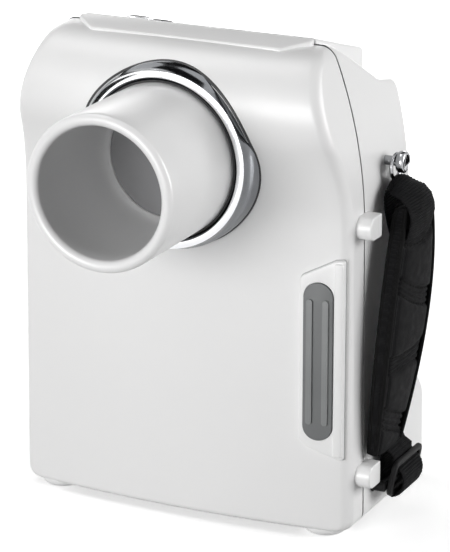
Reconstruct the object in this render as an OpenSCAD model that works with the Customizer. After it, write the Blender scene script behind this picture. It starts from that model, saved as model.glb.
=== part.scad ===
// Handheld intraoral X-ray unit: a two-piece moulded casing with an aiming cone at the front,
// a sloping control deck at the back of the top, and a padded hand strap on the right side.
// The origin is the mouth of the tripod thread in the underside. +Z is up, the cone points to -Y.

/* [Casing] */
// Width of the casing at its underside
body_w = 167.2; // [160:0.2:175]
// Height of the ridge above the underside
body_h = 221; // [214:0.5:230]
// Depth from the front panel's side edges to the upper rear wall
body_d = 70.5; // [68:0.5:80]
// Distance of the front panel's side edges in front of the tripod thread
front_reach = 36; // [34:0.5:38]
// Distance of the parting line behind the front panel's side edges
parting_depth = 15; // [14:0.5:17]
// Wall thickness of both shells
wall = 2.6; // [2.2:0.1:3]
// Width of the visible parting groove
seam = 0.5; // [0.3:0.1:0.8]
// Forward bow of the front panel across its width
bow = 6.2; // [5:0.1:7.5]
// Depth below the ridge at which the front panel starts to swell forward
swell_drop = 78; // [73:0.5:83]
// Radius of the brow at the top of the front panel
brow_r = 28; // [26:0.5:30]
// How far the brow stands in front of the lower panel
brow_reach = 13.3; // [11:0.1:15]
// Depth below the ridge at which the sides start to lean inwards
lean_drop = 81; // [72:1:90]
// Radius of the inward lean of the sides
lean_r = 208; // [190:1:240]
// Inward draft of each side from the underside to the lean
draft = 1.4; // [0:0.1:2]
// Corner radius at the underside
foot_corner_r = 6; // [4:0.5:8]
// Corner radius at the shoulders
shoulder_r = 5; // [3.5:0.5:7]
// Radius of the upright edges at the back
rear_edge_r = 6; // [4:0.5:8]
// Depth of the battery bulge behind the upper rear wall
bulge_d = 19.5; // [17:0.5:23]
// Height of the flat face of the battery bulge
bulge_h = 42; // [40:0.5:50]

/* [Control deck] */
// Width of the deck block
deck_w = 115; // [110:0.5:118]
// Height of the deck's front edge above the ridge
deck_rise = 3; // [2:0.1:4]
// Length of the deck along its slope
deck_l = 56.3; // [54:0.1:58]
// Fall of the deck towards the back
deck_tilt = 16.5; // [14:0.1:19]
// Width of the display window
window_w = 60; // [52:0.5:64]
// Length of the display window along the slope
window_l = 26; // [22:0.5:28]
// Radius of the exposure button
exposure_r = 4.8; // [4:0.1:5.2]
// Radius of the power button
power_r = 4.6; // [4:0.1:5]
// Width of a key
key_w = 14; // [11:0.5:16]
// Length of a key along the slope
key_l = 6.5; // [5:0.5:8]
// Travel of the buttons and keys
press = 0.8; // [0.5:0.1:1]

/* [Cone] */
// Depth of the cone's axis below the ridge
cone_drop = 50.2; // [49:0.2:52]
// Inner radius of the cone
cone_bore_r = 29.5; // [27:0.5:31]
// Wall of the cone
cone_wall = 5.6; // [4.5:0.1:6]
// Distance of the cone's rim in front of the tripod thread
cone_reach = 116.3; // [100:0.1:130]
// Distance of the bezel's lip in front of the tripod thread
lip_reach = 58; // [57:0.1:60]
// Width of the bright front lip of the bezel
lip_w = 4.2; // [3.4:0.1:4.6]
// Flare of the bezel outside its lip
bezel_flare = 2.2; // [1.8:0.1:2.6]
// Depth of the window disc behind the lip
window_depth = 6; // [5:0.5:7]

/* [Hand grip] */
// Distance of the grip plate's inner edge from the middle
grip_x = 60; // [56:0.5:62]
// Height of the grip plate's lower end
grip_z = 36; // [30:0.5:42]
// Height of the grip plate
grip_h = 94; // [84:0.5:98]
// Height of the plate's face over the panel
grip_raise = 2.2; // [1.6:0.1:3]
// Width of the rubber pad
pad_w = 13.6; // [12:0.2:14]
// Height of the rubber pad
pad_h = 74; // [66:0.5:76]
// Height of the pad's face over the plate
pad_raise = 0.8; // [0.6:0.1:1.2]

/* [Side posts and feet] */
// Height of the lower post's middle
post_low_z = 25.5; // [23:0.5:28]
// Depth of the upper post's middle below the ridge
post_drop = 78.7; // [75:0.1:83]
// Height of a post
post_h = 10.6; // [9:0.2:12]
// Depth of a post from its round front to its flat back
post_d = 12.8; // [11:0.2:13]
// Reach of a post from the side wall
post_reach = 7; // [5:0.5:8]
// Height of the feet
foot_h = 3; // [2:0.5:4]
// Diameter of a foot
foot_d = 20; // [16:0.5:22]

/* [Hand strap] */
// Middle of the strap along the depth of the casing
strap_y = 6; // [5.5:0.5:8]
// Width of the padded band
strap_w = 45; // [38:0.5:46]
// Thickness of the padded band at its crown
strap_t = 9; // [7:0.1:9.6]
// Distance of the band's outer face from the side wall
strap_reach = 17.5; // [17:0.1:22]
// Width of the webbing
web_w = 25; // [20:0.5:26]
// Thickness of the webbing
web_t = 1.6; // [1.2:0.1:2]
// Depth of the strap stud below the ridge
stud_drop = 56; // [53:0.5:57]
// Radius of the stud's head
stud_r = 4.9; // [4.2:0.1:5.2]
// Height of the lower strap bar
bar_z = 15; // [13:0.5:17]

/* [Inside] */
// Width of the generator tank
tank_w = 92; // [84:1:100]
// Height of the generator tank
tank_h = 74; // [68:1:76]
// Wall of the generator tank
tank_wall = 3; // [2:0.5:4]
// Radius of the tube's glass envelope
envelope_r = 13; // [11:0.5:14]
// Radius of the tripod thread, at its crests
thread_r = 2.55; // [2.2:0.05:3]
// Length of the tripod insert
insert_l = 10; // [8:0.5:12]
// Radius of the charging plug's barrel
jack_r = 2.75; // [2.5:0.05:3]
// Radius of the casing screws' shanks
screw_r = 1.5; // [1.2:0.1:1.8]

/* [Hidden] */
$fn = 64;
slip = 0.3;
touch = 0.05;
lap = 0.01;
far = 400;
front_y = -front_reach;
parting_y = front_y + parting_depth;
groove_y = parting_y - seam / 2;
rear_y = front_y + body_d;
bulge_y = rear_y + bulge_d;
half_w = body_w / 2;
side_x = half_w - draft;
deck_z = body_h + deck_rise;
swell_z = body_h - swell_drop;
lean_z = body_h - lean_drop;
cone_z = body_h - cone_drop;
post_high_z = body_h - post_drop;
stud_z = body_h - stud_drop;
deck_end_y = parting_y + deck_l * cos(deck_tilt);
deck_end_z = deck_z - deck_l * sin(deck_tilt);

// Front panel: an upright line, a hollow arc and the round brow, swept round a distant upright axis
brow_z = body_h - brow_r;
brow_back = brow_r - brow_reach;
hollow_r = ((brow_z - swell_z) ^ 2 + brow_back ^ 2 - brow_r ^ 2) / (2 * brow_reach);
sweep_a = asin((brow_z - swell_z) / (hollow_r + brow_r));
bow_r = (half_w ^ 2 + bow ^ 2) / (2 * bow);
bow_axis_y = front_y - bow + bow_r;
bow_a = 12;
panel_deep = 60;
facet_reach = 13;
facet_splay = 11;
tongue_l = 2.5;
tongue_in = wall * 0.55;

// Wings of the rear shell: a slope from the ridge and a shelf above the rear wall
slope_y = parting_y + 4.5;
shelf_drop = 22;
shelf_run = 17.5;
shelf_fall = 3.7;
bulge_slope_h = 24;
deck_sink = 40;

cone_r = cone_bore_r + cone_wall;
lip_y = -lip_reach;
rim_y = -cone_reach;
window_y = lip_y + window_depth;
seal_t = 1;
seal_l = 3;
lip_in_r = cone_r + seal_t;
lip_out_r = lip_in_r + lip_w;
bezel_r = lip_out_r + bezel_flare;
cove_l = 8;
disc_r = cone_bore_r - 1.8;
disc_t = 2.5;
collar_w = 2.5;
cone_back_y = window_y + disc_t + 4;
throat_r = disc_r - 8;

tank_front_y = front_y + 2;
tank_d = 48;
tank_back_y = tank_front_y + tank_d;
skirt_l = lip_reach + tank_front_y - 1.5;
tank_z = cone_z - tank_h / 2 - 20;
port_r = 8;
filter_r = 9;
filter_t = 1.5;
tube_y = tank_front_y + tank_wall + envelope_r + 2;
tube_l = tank_w - 2 * tank_wall;
glass_t = 1.5;
stem_r = 5;
anode_r = 7;
cup_r = 8;
cup_l = 10;
cup_x = -14;
heel_x = -1;
anode_end = 8;
target_cut = [10, 40];
core = [48, 24, 20];
core_slot = [8, 12];

plate_t = 2;
plate_y = tank_back_y + plate_t;
plate_lower = [100, 41];
plate_z = 30;
plate_rim = 4;
tank_screw_x = 30;
tank_screw_in = 10;
tank_screw_l = plate_t + tank_wall - 0.5;
drive_gap = 3;
drive_w = 92;
drive_low_z = 34;
drive_clear = 6;
drive_h = tank_z - drive_clear - drive_low_z;
coil_r = 8;
coil_h = 22;
coil_x = -18;
coil_rise = 26;
coil_z = drive_low_z + coil_rise;
block = [26, 16, 26];
block_x = 8;
block_rise = 14;
block_z = drive_low_z + block_rise;
drive_post_r = 3;
drive_post_in = 2 * drive_post_r;
drive_post_x = drive_w / 2 - drive_post_in;

boss_r = 5;
boss_end_y = parting_y + 12;
boss_floor = 4;
screw_l = 16;
screw_end_y = boss_end_y + boss_floor - screw_l;
head_r = screw_r * 2;
head_h = 2.6;
high_boss = [half_w - 15.6, cone_z + 7.2];
low_boss = [half_w - 13.6, 16];
shoulder_z = plate_z + plate_lower[1] - 1;
plate_w = 132;
plate_upper = [plate_w, high_boss[1] + plate_rim - shoulder_z];
bosses = [for (b = [high_boss, low_boss], s = [-1, 1]) [s * b[0], b[1]]];
seat_r = boss_r + 4;

battery = [80, 30, bulge_h - 4];
battery_back_y = bulge_y - wall - 2;
cover = [104, wall, bulge_h - 12];
cover_z = foot_corner_r + 1.5;
cover_mid_z = cover_z + cover[2] / 2;
cover_screw_x = cover[0] / 2 - 6;
lug = [14, 6, 10];
lug_y = bulge_y - wall - lug[1];
recess = 1.4;
grooves = 6;

board_drop = 12;
board_t = 1.6;
key_step = deck_w * 0.1913;
deck_keys = [for (k = [-1.5:1:1.5]) k * key_step];
key_s = deck_l - 12;
buttons_s = 16;
button_gap = 2.8;
exposure_x = 20.5 - deck_w / 2;
power_x = exposure_x + exposure_r + power_r + button_gap;
window_x = (power_x + power_r + 1.5 + deck_w / 2 - wall) / 2;
window_s = 19;
glass_deep = 1.2;
ledge = 2;
ring_w = 1.6;
flange_t = 1;
flange_w = 1.2;
flange_gap = 0.2;
flange_z = -wall - flange_gap - flange_t;
stem_deep = wall + 2;
cap_h = 1.6;
key_h = 0.9;
edge_cut = 0.6;
dome_r = 2.4;
pillar_r = 2.2;
buzzer_r = 4;
buzzer_h = 5;

socket_y = 8;
socket_z = 44;
socket_r = 5;
socket_l = 14;
socket_bore_l = 11;
socket_sink = 0.4;

// Strap: the band's middle line is an arch at the top and a long drop that closes on the wall
crown_x = side_x + strap_reach - strap_t / 2;
arch_r = 9;
arch_a = 62;
arch_z = stud_z - 19;
arch_l = arch_r * arch_a * PI / 180;
band_low_z = bar_z + 21;
low_reach = 9.9;
band_drop = arch_z - band_low_z;
band_l = arch_l + band_drop;
close_in = strap_reach - low_reach;
curl = 1.5;

neck_r = 2.2;
wire_r = 0.9;
ring_r = 5.5;
stud_y = strap_y - 0.5;
stud_x = side_x + 4.8;
head_l = 3.9;
ring_x = stud_x - wire_r - 0.4;
ring_z = stud_z + neck_r + wire_r + touch - ring_r;
tab_w = 5.6;
tab_r = wire_r + 0.9 + web_t / 2;
bar_r = 1.8;
peg_r = bar_r + 0.7;
bar_x = half_w + 4.1;
peg_span = web_w / 2 + 3;
peg_deep = 6.9;
web_ease = 15;
web_turn = 8;
weave = 2;
bar_loop_r = bar_r + slip + web_t / 2;
buckle_t = 2.4;
buckle_bar = 2.6;
buckle_step = 7.5;
buckle_tilt = 6;
buckle_x = bar_x + bar_loop_r + 1.8;
buckle_z = bar_z + 3.5;

grip_end_x = half_w - 3;
rib_x = grip_end_x - 4.5;
rib_w = 4;
rib_raise = 1;
pad_x = (grip_x + rib_x) / 2 + 0.9;
pad_z = grip_z + (grip_h - pad_h) / 2 - 1;
pad_rib_w = 2.2;
pad_rib_raise = 0.9;
pad_rib_end = 9;
pad_rib_l = pad_h - 2 * pad_rib_end;

function unit(v) = v / norm(v);
function turn_left(v) = [-v[1], v[0]];

// Corner i of an anticlockwise outline of [across, up, radius] corners
function before(p, i) = p[(i + len(p) - 1) % len(p)];
function after(p, i) = p[(i + 1) % len(p)];
function flat(c) = [c[0], c[1]];
function way_in(p, i) = unit(flat(p[i]) - flat(before(p, i)));
function way_out(p, i) = unit(flat(after(p, i)) - flat(p[i]));

// The outline moved inwards by t, with its radii to suit
function inset(p, t) = [
    for (i = [0:len(p) - 1])
        let (
            a = way_in(p, i),
            b = way_out(p, i),
            na = turn_left(a),
            nb = turn_left(b),
            move = (na + nb) / (1 + na * nb) * t,
            bend = cross(a, b),
            r = bend > 0 ? max(p[i][2] - t, 0) : p[i][2] + (p[i][2] > 0 ? t : 0)
        )
        [p[i][0] + move[0], p[i][1] + move[1], r]
];

// The outline's points, each corner rounded to its radius
function rounded(p, steps = 6) = [
    for (i = [0:len(p) - 1])
        let (
            a = way_in(p, i),
            b = way_out(p, i),
            bend = cross(a, b),
            half = acos(max(-1, min(1, a * b))) / 2,
            r = p[i][2],
            start = flat(p[i]) - a * r * tan(half),
            centre = start + turn_left(a) * r * sign(bend),
            spoke = start - centre
        )
        each (r < 0.01 ? [flat(p[i])] : [
            for (k = [0:steps])
                let (t = sign(bend) * 2 * half * k / steps)
                centre + [spoke[0] * cos(t) - spoke[1] * sin(t), spoke[0] * sin(t) + spoke[1] * cos(t)]
        ])
];

// Half width of the casing's front view at height z, above the lean
function lean_x(z, t = 0) = side_x - lean_r + sqrt((lean_r - t) ^ 2 - (z - lean_z) ^ 2);

// Half width of the casing below the lean
function draft_x(z) = half_w - draft * z / lean_z;

// Front view of the casing, moved inwards by t
function face_points(t) =
    let (
        steps = 7,
        top = body_h - t,
        right = [
            [half_w - t, t, max(foot_corner_r - t, 0)],
            [side_x - t, lean_z, 0],
            for (k = [1:steps - 1]) let (z = lean_z + (top - lean_z) * k / steps) [lean_x(z, t), z, 0],
            [lean_x(top, t), top, max(shoulder_r - t, 0)]
        ],
        left = [for (k = [len(right) - 1:-1:0]) [-right[k][0], right[k][1], right[k][2]]]
    )
    rounded(concat(right, left));

// Section of the front panel as [distance from the bow's axis, height], moved inwards by t
function panel_points(t) = [
    [bow_r - panel_deep, t - 1],
    [bow_r - t, t - 1],
    for (k = [0:6]) let (a = sweep_a * k / 6)
        [bow_r + hollow_r - (hollow_r + t) * cos(a), swell_z + (hollow_r + t) * sin(a)],
    for (k = [1:12]) let (a = -sweep_a + (90 + sweep_a) * k / 12)
        [bow_r - brow_back + (brow_r - t) * cos(a), brow_z + (brow_r - t) * sin(a)],
    [bow_r - panel_deep, body_h - t]
];

// Side view of the rear shell as [depth, height, radius] corners
rear_corners = [
    [parting_y - 4, 0, 0],
    [bulge_y, 0, foot_corner_r],
    [bulge_y, bulge_h, 10],
    [rear_y, bulge_h + bulge_slope_h, 14],
    [rear_y, body_h - shelf_drop - shelf_fall, 6],
    [rear_y - shelf_run, body_h - shelf_drop, 12],
    [slope_y, body_h, 12],
    [parting_y - 4, body_h, 0]
];

// Plan of the rear shell
plan_corners = [
    [-half_w, parting_y - 4, 0],
    [half_w, parting_y - 4, 0],
    [half_w, bulge_y, rear_edge_r],
    [-half_w, bulge_y, rear_edge_r]
];

// Side view of the deck block
deck_corners = [
    [parting_y - 4, body_h - deck_sink, 0],
    [deck_end_y, body_h - deck_sink, 0],
    [deck_end_y, deck_end_z, 2.5],
    [parting_y, deck_z, 0],
    [parting_y - 4, deck_z, 0]
];

// Stands an outline in the XZ plane and runs it back from y0 to y1
module along_y(y0, y1) {
    translate([0, y1, 0]) rotate([90, 0, 0]) linear_extrude(y1 - y0) children();
}

// Stands an outline in the YZ plane and runs it across from x0 to x1
module along_x(x0, x1) {
    translate([x0, 0, 0]) rotate([90, 0, 90]) linear_extrude(x1 - x0) children();
}

// A round rod along X or along Y
module rod_x(r, x0, x1, y, z) {
    translate([x0, y, z]) rotate([0, 90, 0]) cylinder(r = r, h = x1 - x0);
}

module rod_y(r, y0, y1, x, z) {
    translate([x, y1, z]) rotate([90, 0, 0]) cylinder(r = r, h = y1 - y0);
}

// Turns a section of [radius, distance in front of the cone's base] about the cone's axis
module about_cone() {
    translate([0, 0, cone_z]) rotate([90, 0, 0]) rotate_extrude($fn = 96) children();
}

module cone_drum(r, y0, y1) {
    translate([0, y1, cone_z]) rotate([90, 0, 0]) cylinder(r = r, h = y1 - y0, $fn = 96);
}

// Places children on the deck: x across, y down the slope, z out of the deck
module on_deck() {
    translate([0, parting_y, deck_z]) rotate([-deck_tilt, 0, 0]) children();
}

// A round-ended bar in the deck's plane, from z0 to z1
module lozenge(w, l, z0, z1) {
    translate([0, 0, z0]) linear_extrude(z1 - z0) {
        square([w - l, l], center = true);
        for (s = [-1, 1]) translate([s * (w - l) / 2, 0]) circle(l / 2);
    }
}

// A screw with its head on top of the plane z = 0 and a six-sided socket
module plain_screw(top, length) {
    difference() {
        union() {
            cylinder(r = head_r, h = top);
            translate([0, 0, -length]) cylinder(r = screw_r, h = length + lap);
        }
        translate([0, 0, top - 1.1]) cylinder(r = head_r / 2, h = 2, $fn = 6);
    }
}

// Everything in front of y = back, moved inwards by t
module front_mass(t, back) {
    intersection() {
        translate([0, bow_axis_y, 0]) rotate([0, 0, -90 - bow_a]) rotate_extrude(angle = 2 * bow_a, $fn = 180)
            polygon(panel_points(t));
        along_y(-far, back) polygon(face_points(t));
    }
}

// Raised facet that climbs to the deck's front edge
module crown_facet() {
    toe_y = parting_y - facet_reach;
    intersection() {
        along_x(-deck_w / 2, deck_w / 2) polygon([
            [groove_y, body_h - facet_reach],
            [toe_y, body_h - facet_reach],
            [toe_y, body_h - 1],
            [toe_y + 1.5, body_h + 0.4],
            [groove_y, deck_z]
        ]);
        linear_extrude(far) polygon([
            [-deck_w / 2 + facet_splay, toe_y],
            [deck_w / 2 - facet_splay, toe_y],
            [deck_w / 2, parting_y - 3],
            [deck_w / 2, parting_y],
            [-deck_w / 2, parting_y],
            [-deck_w / 2, parting_y - 3]
        ]);
    }
}

module front_shell() {
    color("whitesmoke") difference() {
        union() {
            difference() {
                union() {
                    front_mass(0, groove_y);
                    crown_facet();
                }
                front_mass(wall, parting_y);
            }
            // Tongue that locates the rear shell
            difference() {
                along_y(parting_y - 3, parting_y + tongue_l) polygon(face_points(tongue_in));
                along_y(parting_y - 4, parting_y + tongue_l + 1) polygon(face_points(wall));
            }
            for (b = bosses) intersection() {
                rod_y(boss_r - 1, -far, boss_end_y - touch, b[0], b[1]);
                front_mass(wall / 2, boss_end_y);
            }
        }
        cone_drum(bezel_r + touch, -far, parting_y - 2);
        for (b = bosses) rod_y(screw_r + touch / 2, screw_end_y - 1, boss_end_y, b[0], b[1]);
    }
}

module rear_mass(t) {
    intersection() {
        along_x(-half_w, half_w) polygon(rounded(inset(rear_corners, t)));
        along_y(-far, far) polygon(face_points(t));
        linear_extrude(far) polygon(rounded(inset(plan_corners, t)));
    }
}

module deck_mass(t) {
    along_x(-deck_w / 2 + t, deck_w / 2 - t) polygon(rounded(inset(deck_corners, t)));
}

// Stiff places left standing inside the rear shell
module rear_bosses() {
    for (b = bosses) rod_y(boss_r, boss_end_y, far, b[0], b[1]);
    cylinder(r = seat_r, h = insert_l + 2);
    rod_x(neck_r + 4, lean_x(stud_z) - wall - 4, half_w, stud_y, stud_z);
    for (s = [-1, 1]) {
        rod_x(peg_r + 2, half_w - peg_deep - 1, half_w, strap_y + s * peg_span, bar_z);
        translate([s * (cover[0] / 2 - 3) - lug[0] / 2, lug_y, cover_mid_z - lug[2] / 2])
            cube([lug[0], lug[1] + wall, lug[2]]);
    }
}

module rear_shell() {
    color("whitesmoke") difference() {
        union() {
            rear_mass(0);
            deck_mass(0);
        }
        difference() {
            union() {
                rear_mass(wall);
                deck_mass(wall);
            }
            rear_bosses();
        }
        // Everything in front of the groove belongs to the front shell
        translate([-far, -far, -far]) cube([2 * far, far + parting_y + seam / 2, 2 * far]);
        // Screw passages and the seat of the tripod insert
        for (b = bosses) {
            rod_y(head_r + slip, boss_end_y + boss_floor, far, b[0], b[1]);
            rod_y(screw_r + slip, parting_y, far, b[0], b[1]);
        }
        translate([0, 0, -1]) cylinder(r = boss_r + touch, h = insert_l + 1);
        // Tongue groove
        difference() {
            along_y(parting_y - 1, parting_y + tongue_l + slip) polygon(face_points(tongue_in - 0.15));
            along_y(parting_y - 2, parting_y + tongue_l + 1) polygon(face_points(wall + 0.6));
        }
        on_deck() {
            translate([exposure_x, buttons_s, -stem_deep]) cylinder(r = exposure_r + ring_w + touch, h = far);
            translate([power_x, buttons_s, -stem_deep]) cylinder(r = power_r + slip, h = far);
            for (x = deck_keys) translate([x, key_s, 0])
                lozenge(key_w + 2 * slip, key_l + 2 * slip, -stem_deep, stem_deep);
            translate([window_x - window_w / 2, window_s - window_l / 2, 0]) {
                translate([-touch, -touch, -glass_deep])
                    cube([window_w + 2 * touch, window_l + 2 * touch, far]);
                translate([ledge, ledge, -stem_deep])
                    cube([window_w - 2 * ledge, window_l - 2 * ledge, far]);
            }
        }
        // Holes for the stud, the strap bar and the charging socket
        rod_x(neck_r + touch, side_x - 20, far, stud_y, stud_z);
        for (s = [-1, 1]) rod_x(peg_r + touch, half_w - peg_deep - touch, far, strap_y + s * peg_span, bar_z);
        rod_x(socket_r + touch, -far, -half_w + 20, socket_y, socket_z);
        // Opening behind the battery cover, with its screw holes
        translate([-cover[0] / 2 - touch, bulge_y - cover[1] - touch, cover_z - touch])
            cube([cover[0] + 2 * touch, far, cover[2] + 2 * touch]);
        for (s = [-1, 1]) rod_y(screw_r + touch / 2, lug_y - 1, far, s * cover_screw_x, cover_mid_z);
    }
}

module shell_screws() {
    color("silver") for (b = bosses) translate([b[0], boss_end_y + boss_floor, b[1]]) rotate([-90, 0, 0])
        plain_screw(head_h, screw_l);
}

// Chrome ring: a skirt that stands in the panel, a hollow cove and a bright front lip
module cone_bezel() {
    color("lightgrey") difference() {
        about_cone() translate([0, lip_reach]) polygon([
            [lip_in_r, -skirt_l],
            [bezel_r, -skirt_l],
            [bezel_r, -cove_l],
            [bezel_r - 0.5, 1 - cove_l],
            [lip_out_r + bezel_flare / 3, 2.4 - cove_l],
            [lip_out_r + bezel_flare / 8, 3.6 - cove_l],
            [lip_out_r, -1.4],
            [lip_out_r - 0.9, -0.2],
            [lip_out_r - 1.5, 0],
            [lip_in_r + 0.8, 0],
            [lip_in_r, -0.8]
        ]);
        cone_drum(cone_r + collar_w + 0.1, window_y + 1, 0);
    }
}

module cone_seal() {
    color("black") difference() {
        cone_drum(lip_in_r, lip_y + 1, lip_y + 1 + seal_l);
        cone_drum(cone_r, lip_y, lip_y + 2 + seal_l);
    }
}

// Open tube with a rounded rim, a collar inside the bezel and a seat for the window disc
module cone() {
    bead = cone_wall / 2 + 0.1;
    color("white") difference() {
        union() {
            cone_drum(cone_r, rim_y + bead, cone_back_y);
            cone_drum(cone_r + collar_w, window_y + 1.5, cone_back_y);
            about_cone() translate([cone_bore_r + bead, cone_reach - bead]) circle(bead);
        }
        cone_drum(cone_bore_r, rim_y - 1, window_y - 2);
        cone_drum(disc_r + touch, window_y - 3, window_y + disc_t);
        cone_drum(throat_r, window_y, 0);
    }
}

module cone_window() {
    color("gainsboro") cone_drum(disc_r, window_y, window_y + disc_t - touch);
}

// A skin that follows the bowed panel from r0 to r1 in front of it
module panel_skin(r0, r1) {
    translate([0, bow_axis_y, 0]) rotate([0, 0, -90 - bow_a])
        rotate_extrude(angle = 2 * bow_a, $fn = 180) translate([bow_r + r0, 0]) square([r1 - r0, body_h]);
}

// Outline of the grip plate as [across, up, radius] corners
grip_corners = [
    [grip_x, grip_z + 9, 2],
    [grip_x + 3, grip_z + 6, 2],
    [rib_x, grip_z + 1, 0],
    [grip_end_x, grip_z, 1],
    [grip_end_x, grip_z + grip_h, 1],
    [rib_x, grip_z + grip_h - 0.6, 0],
    [grip_x, grip_z + grip_h - 9, 3]
];

module pad_outline(grow) {
    translate([pad_x, pad_z + pad_h / 2]) {
        square([pad_w + 2 * grow, pad_h - pad_w], center = true);
        for (s = [-1, 1]) translate([0, s * (pad_h - pad_w) / 2]) circle(pad_w / 2 + grow);
    }
}

module grip_plate() {
    color("white") difference() {
        union() {
            intersection() {
                panel_skin(touch, grip_raise);
                along_y(-far, 0) polygon(rounded(grip_corners));
            }
            // Upright rib along the corner of the casing
            intersection() {
                panel_skin(touch, grip_raise + rib_raise);
                along_y(-far, 0) translate([rib_x, grip_z + 2]) square([rib_w, grip_h - 4]);
            }
        }
        intersection() {
            panel_skin(grip_raise / 2, 4 * grip_raise);
            along_y(-far, 0) pad_outline(touch);
        }
    }
}

module grip_pad() {
    ribs = [pad_x - pad_w * 0.27, pad_x + pad_w * 0.27];
    color("slategrey") union() {
        intersection() {
            panel_skin(grip_raise / 2, grip_raise + pad_raise);
            along_y(-far, 0) pad_outline(0);
        }
        intersection() {
            panel_skin(grip_raise / 2, grip_raise + pad_raise + pad_rib_raise);
            along_y(-far, 0) for (x = ribs) translate([x, pad_z + pad_h / 2]) {
                square([pad_rib_w, pad_rib_l], center = true);
                for (s = [-1, 1]) translate([0, s * pad_rib_l / 2]) circle(pad_rib_w / 2);
            }
        }
    }
}

// A D-shaped bumper with a round front, standing on the side wall across the parting groove
module side_post(z) {
    front = parting_y - 9.3;
    r = post_h / 2;
    difference() {
        translate([draft_x(z) - 3, 0, z]) rotate([0, 90, 0]) linear_extrude(post_reach + 3) {
            translate([0, front + r]) circle(r);
            translate([-r, front + r]) square([post_h, post_d - r]);
        }
        along_y(front - 1, front + post_d + 1) polygon(face_points(-touch));
    }
}

module upper_side_post() { color("white") side_post(post_high_z); }
module lower_side_post() { color("white") side_post(post_low_z); }

// Round feet that follow the rounded corners of the underside; the front pair ends at the parting groove
module feet() {
    x = half_w - foot_d / 2 - 5.6;
    front = front_y + foot_d / 2 - 1.2;
    back = bulge_y - foot_corner_r - foot_d / 2;
    color("white") difference() {
        for (s = [-1, 1], y = [front, back]) translate([s * x, y, -foot_h]) rotate_extrude() polygon([
            [0, 0],
            [foot_d / 2 - 3.4, 0],
            [foot_d / 2 - 1.4, 0.5],
            [foot_d / 2 - 0.3, 1.5],
            [foot_d / 2, foot_h],
            [foot_d / 2, foot_h + foot_corner_r],
            [0, foot_h + foot_corner_r]
        ]);
        along_y(-far, far) polygon(face_points(-touch));
        translate([-far, groove_y, -far / 2]) cube([2 * far, back - foot_d / 2 - 1 - groove_y, far]);
    }
}

module tripod_insert() {
    color("goldenrod") difference() {
        cylinder(r = boss_r, h = insert_l - touch);
        translate([0, 0, -1]) cylinder(r = thread_r, h = insert_l);
        translate([0, 0, -lap]) cylinder(r1 = thread_r + edge_cut, r2 = thread_r, h = edge_cut);
    }
}

module display_window() {
    color("black") on_deck() translate([window_x - window_w / 2, window_s - window_l / 2, -glass_deep])
        cube([window_w, window_l, glass_deep]);
}

module display_module() {
    w = window_w - 2 * ledge - 1;
    l = window_l - 2 * ledge - 1;
    color("darkslategrey") on_deck() translate([window_x - w / 2, window_s - l / 2, -board_drop])
        cube([w, l, board_drop - glass_deep - touch]);
}

module exposure_ring() {
    color("silver") on_deck() translate([exposure_x, buttons_s, 0]) difference() {
        union() {
            translate([0, 0, -wall]) cylinder(r = exposure_r + ring_w, h = wall + touch + lap);
            translate([0, 0, touch]) cylinder(r1 = exposure_r + ring_w + 0.6, r2 = exposure_r + 1.2, h = 1);
        }
        translate([0, 0, -stem_deep]) cylinder(r = exposure_r + slip, h = 2 * stem_deep);
    }
}

// A push cap with a flange that stops it under the deck
module push_cap(r, top) {
    translate([0, 0, -stem_deep]) cylinder(r = r, h = stem_deep + top - edge_cut);
    translate([0, 0, top - edge_cut]) cylinder(r1 = r, r2 = r - edge_cut, h = edge_cut);
    translate([0, 0, flange_z]) cylinder(r = r + flange_w, h = flange_t);
}

module exposure_button() {
    color("black") on_deck() translate([exposure_x, buttons_s, 0]) push_cap(exposure_r, cap_h);
}

module power_button() {
    color("black") on_deck() translate([power_x, buttons_s, 0]) push_cap(power_r, key_h);
}

module deck_key(i) {
    on_deck() translate([deck_keys[i], key_s, 0]) {
        lozenge(key_w, key_l, -stem_deep, key_h);
        lozenge(key_w + 2 * flange_w, key_l + 2 * flange_w, flange_z, flange_z + flange_t);
    }
}

module mode_key() { color("dimgrey") deck_key(0); }
module minus_key() { color("dimgrey") deck_key(1); }
module plus_key() { color("dimgrey") deck_key(2); }
module store_key() { color("dimgrey") deck_key(3); }

// Switch board under the deck, on four pillars, with a dome switch under each cap
module control_board() {
    dome_h = board_drop - stem_deep - press - slip;
    edge = 3.5;
    w = deck_w - 2 * wall - 4;
    color("seagreen") on_deck() {
        translate([-w / 2, edge, -board_drop - board_t]) cube([w, deck_l - wall - edge - 2, board_t - touch]);
        translate([0, 0, -board_drop - touch - lap]) {
            for (x = deck_keys) translate([x, key_s, 0]) cylinder(r = dome_r, h = dome_h);
            for (x = [exposure_x, power_x]) translate([x, buttons_s, 0]) cylinder(r = dome_r, h = dome_h);
            for (s = [-1, 1], d = [edge + 3, deck_l - wall - 5]) translate([s * (w / 2 - 3), d, 0])
                cylinder(r = pillar_r, h = board_drop - wall);
        }
    }
}

module buzzer() {
    color("black") on_deck() translate([2 * buzzer_r + wall - deck_w / 2, buttons_s + 17, -board_drop])
        cylinder(r = buzzer_r, h = buzzer_h);
}

// Sealed tank that holds the tube and its transformer in oil
module generator_tank() {
    color("silver") difference() {
        translate([-tank_w / 2, tank_front_y, tank_z]) cube([tank_w, tank_d, tank_h]);
        translate([-tank_w / 2 + tank_wall, tank_front_y + tank_wall, tank_z + tank_wall])
            cube([tank_w - 2 * tank_wall, tank_d - 2 * tank_wall, tank_h - 2 * tank_wall]);
        // Beam port
        cone_drum(port_r, tank_front_y - 1, tank_front_y + tank_wall + 1);
        tank_screw_holes(screw_r + touch / 2);
    }
}

// The four screw lines between the tank and the chassis plate
module tank_screw_holes(r) {
    for (x = [-tank_screw_x, tank_screw_x], z = [tank_z + tank_screw_in, tank_z + tank_h - tank_screw_in])
        rod_y(r, plate_y - tank_screw_l - 0.2, plate_y + 1, x, z);
}

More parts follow.
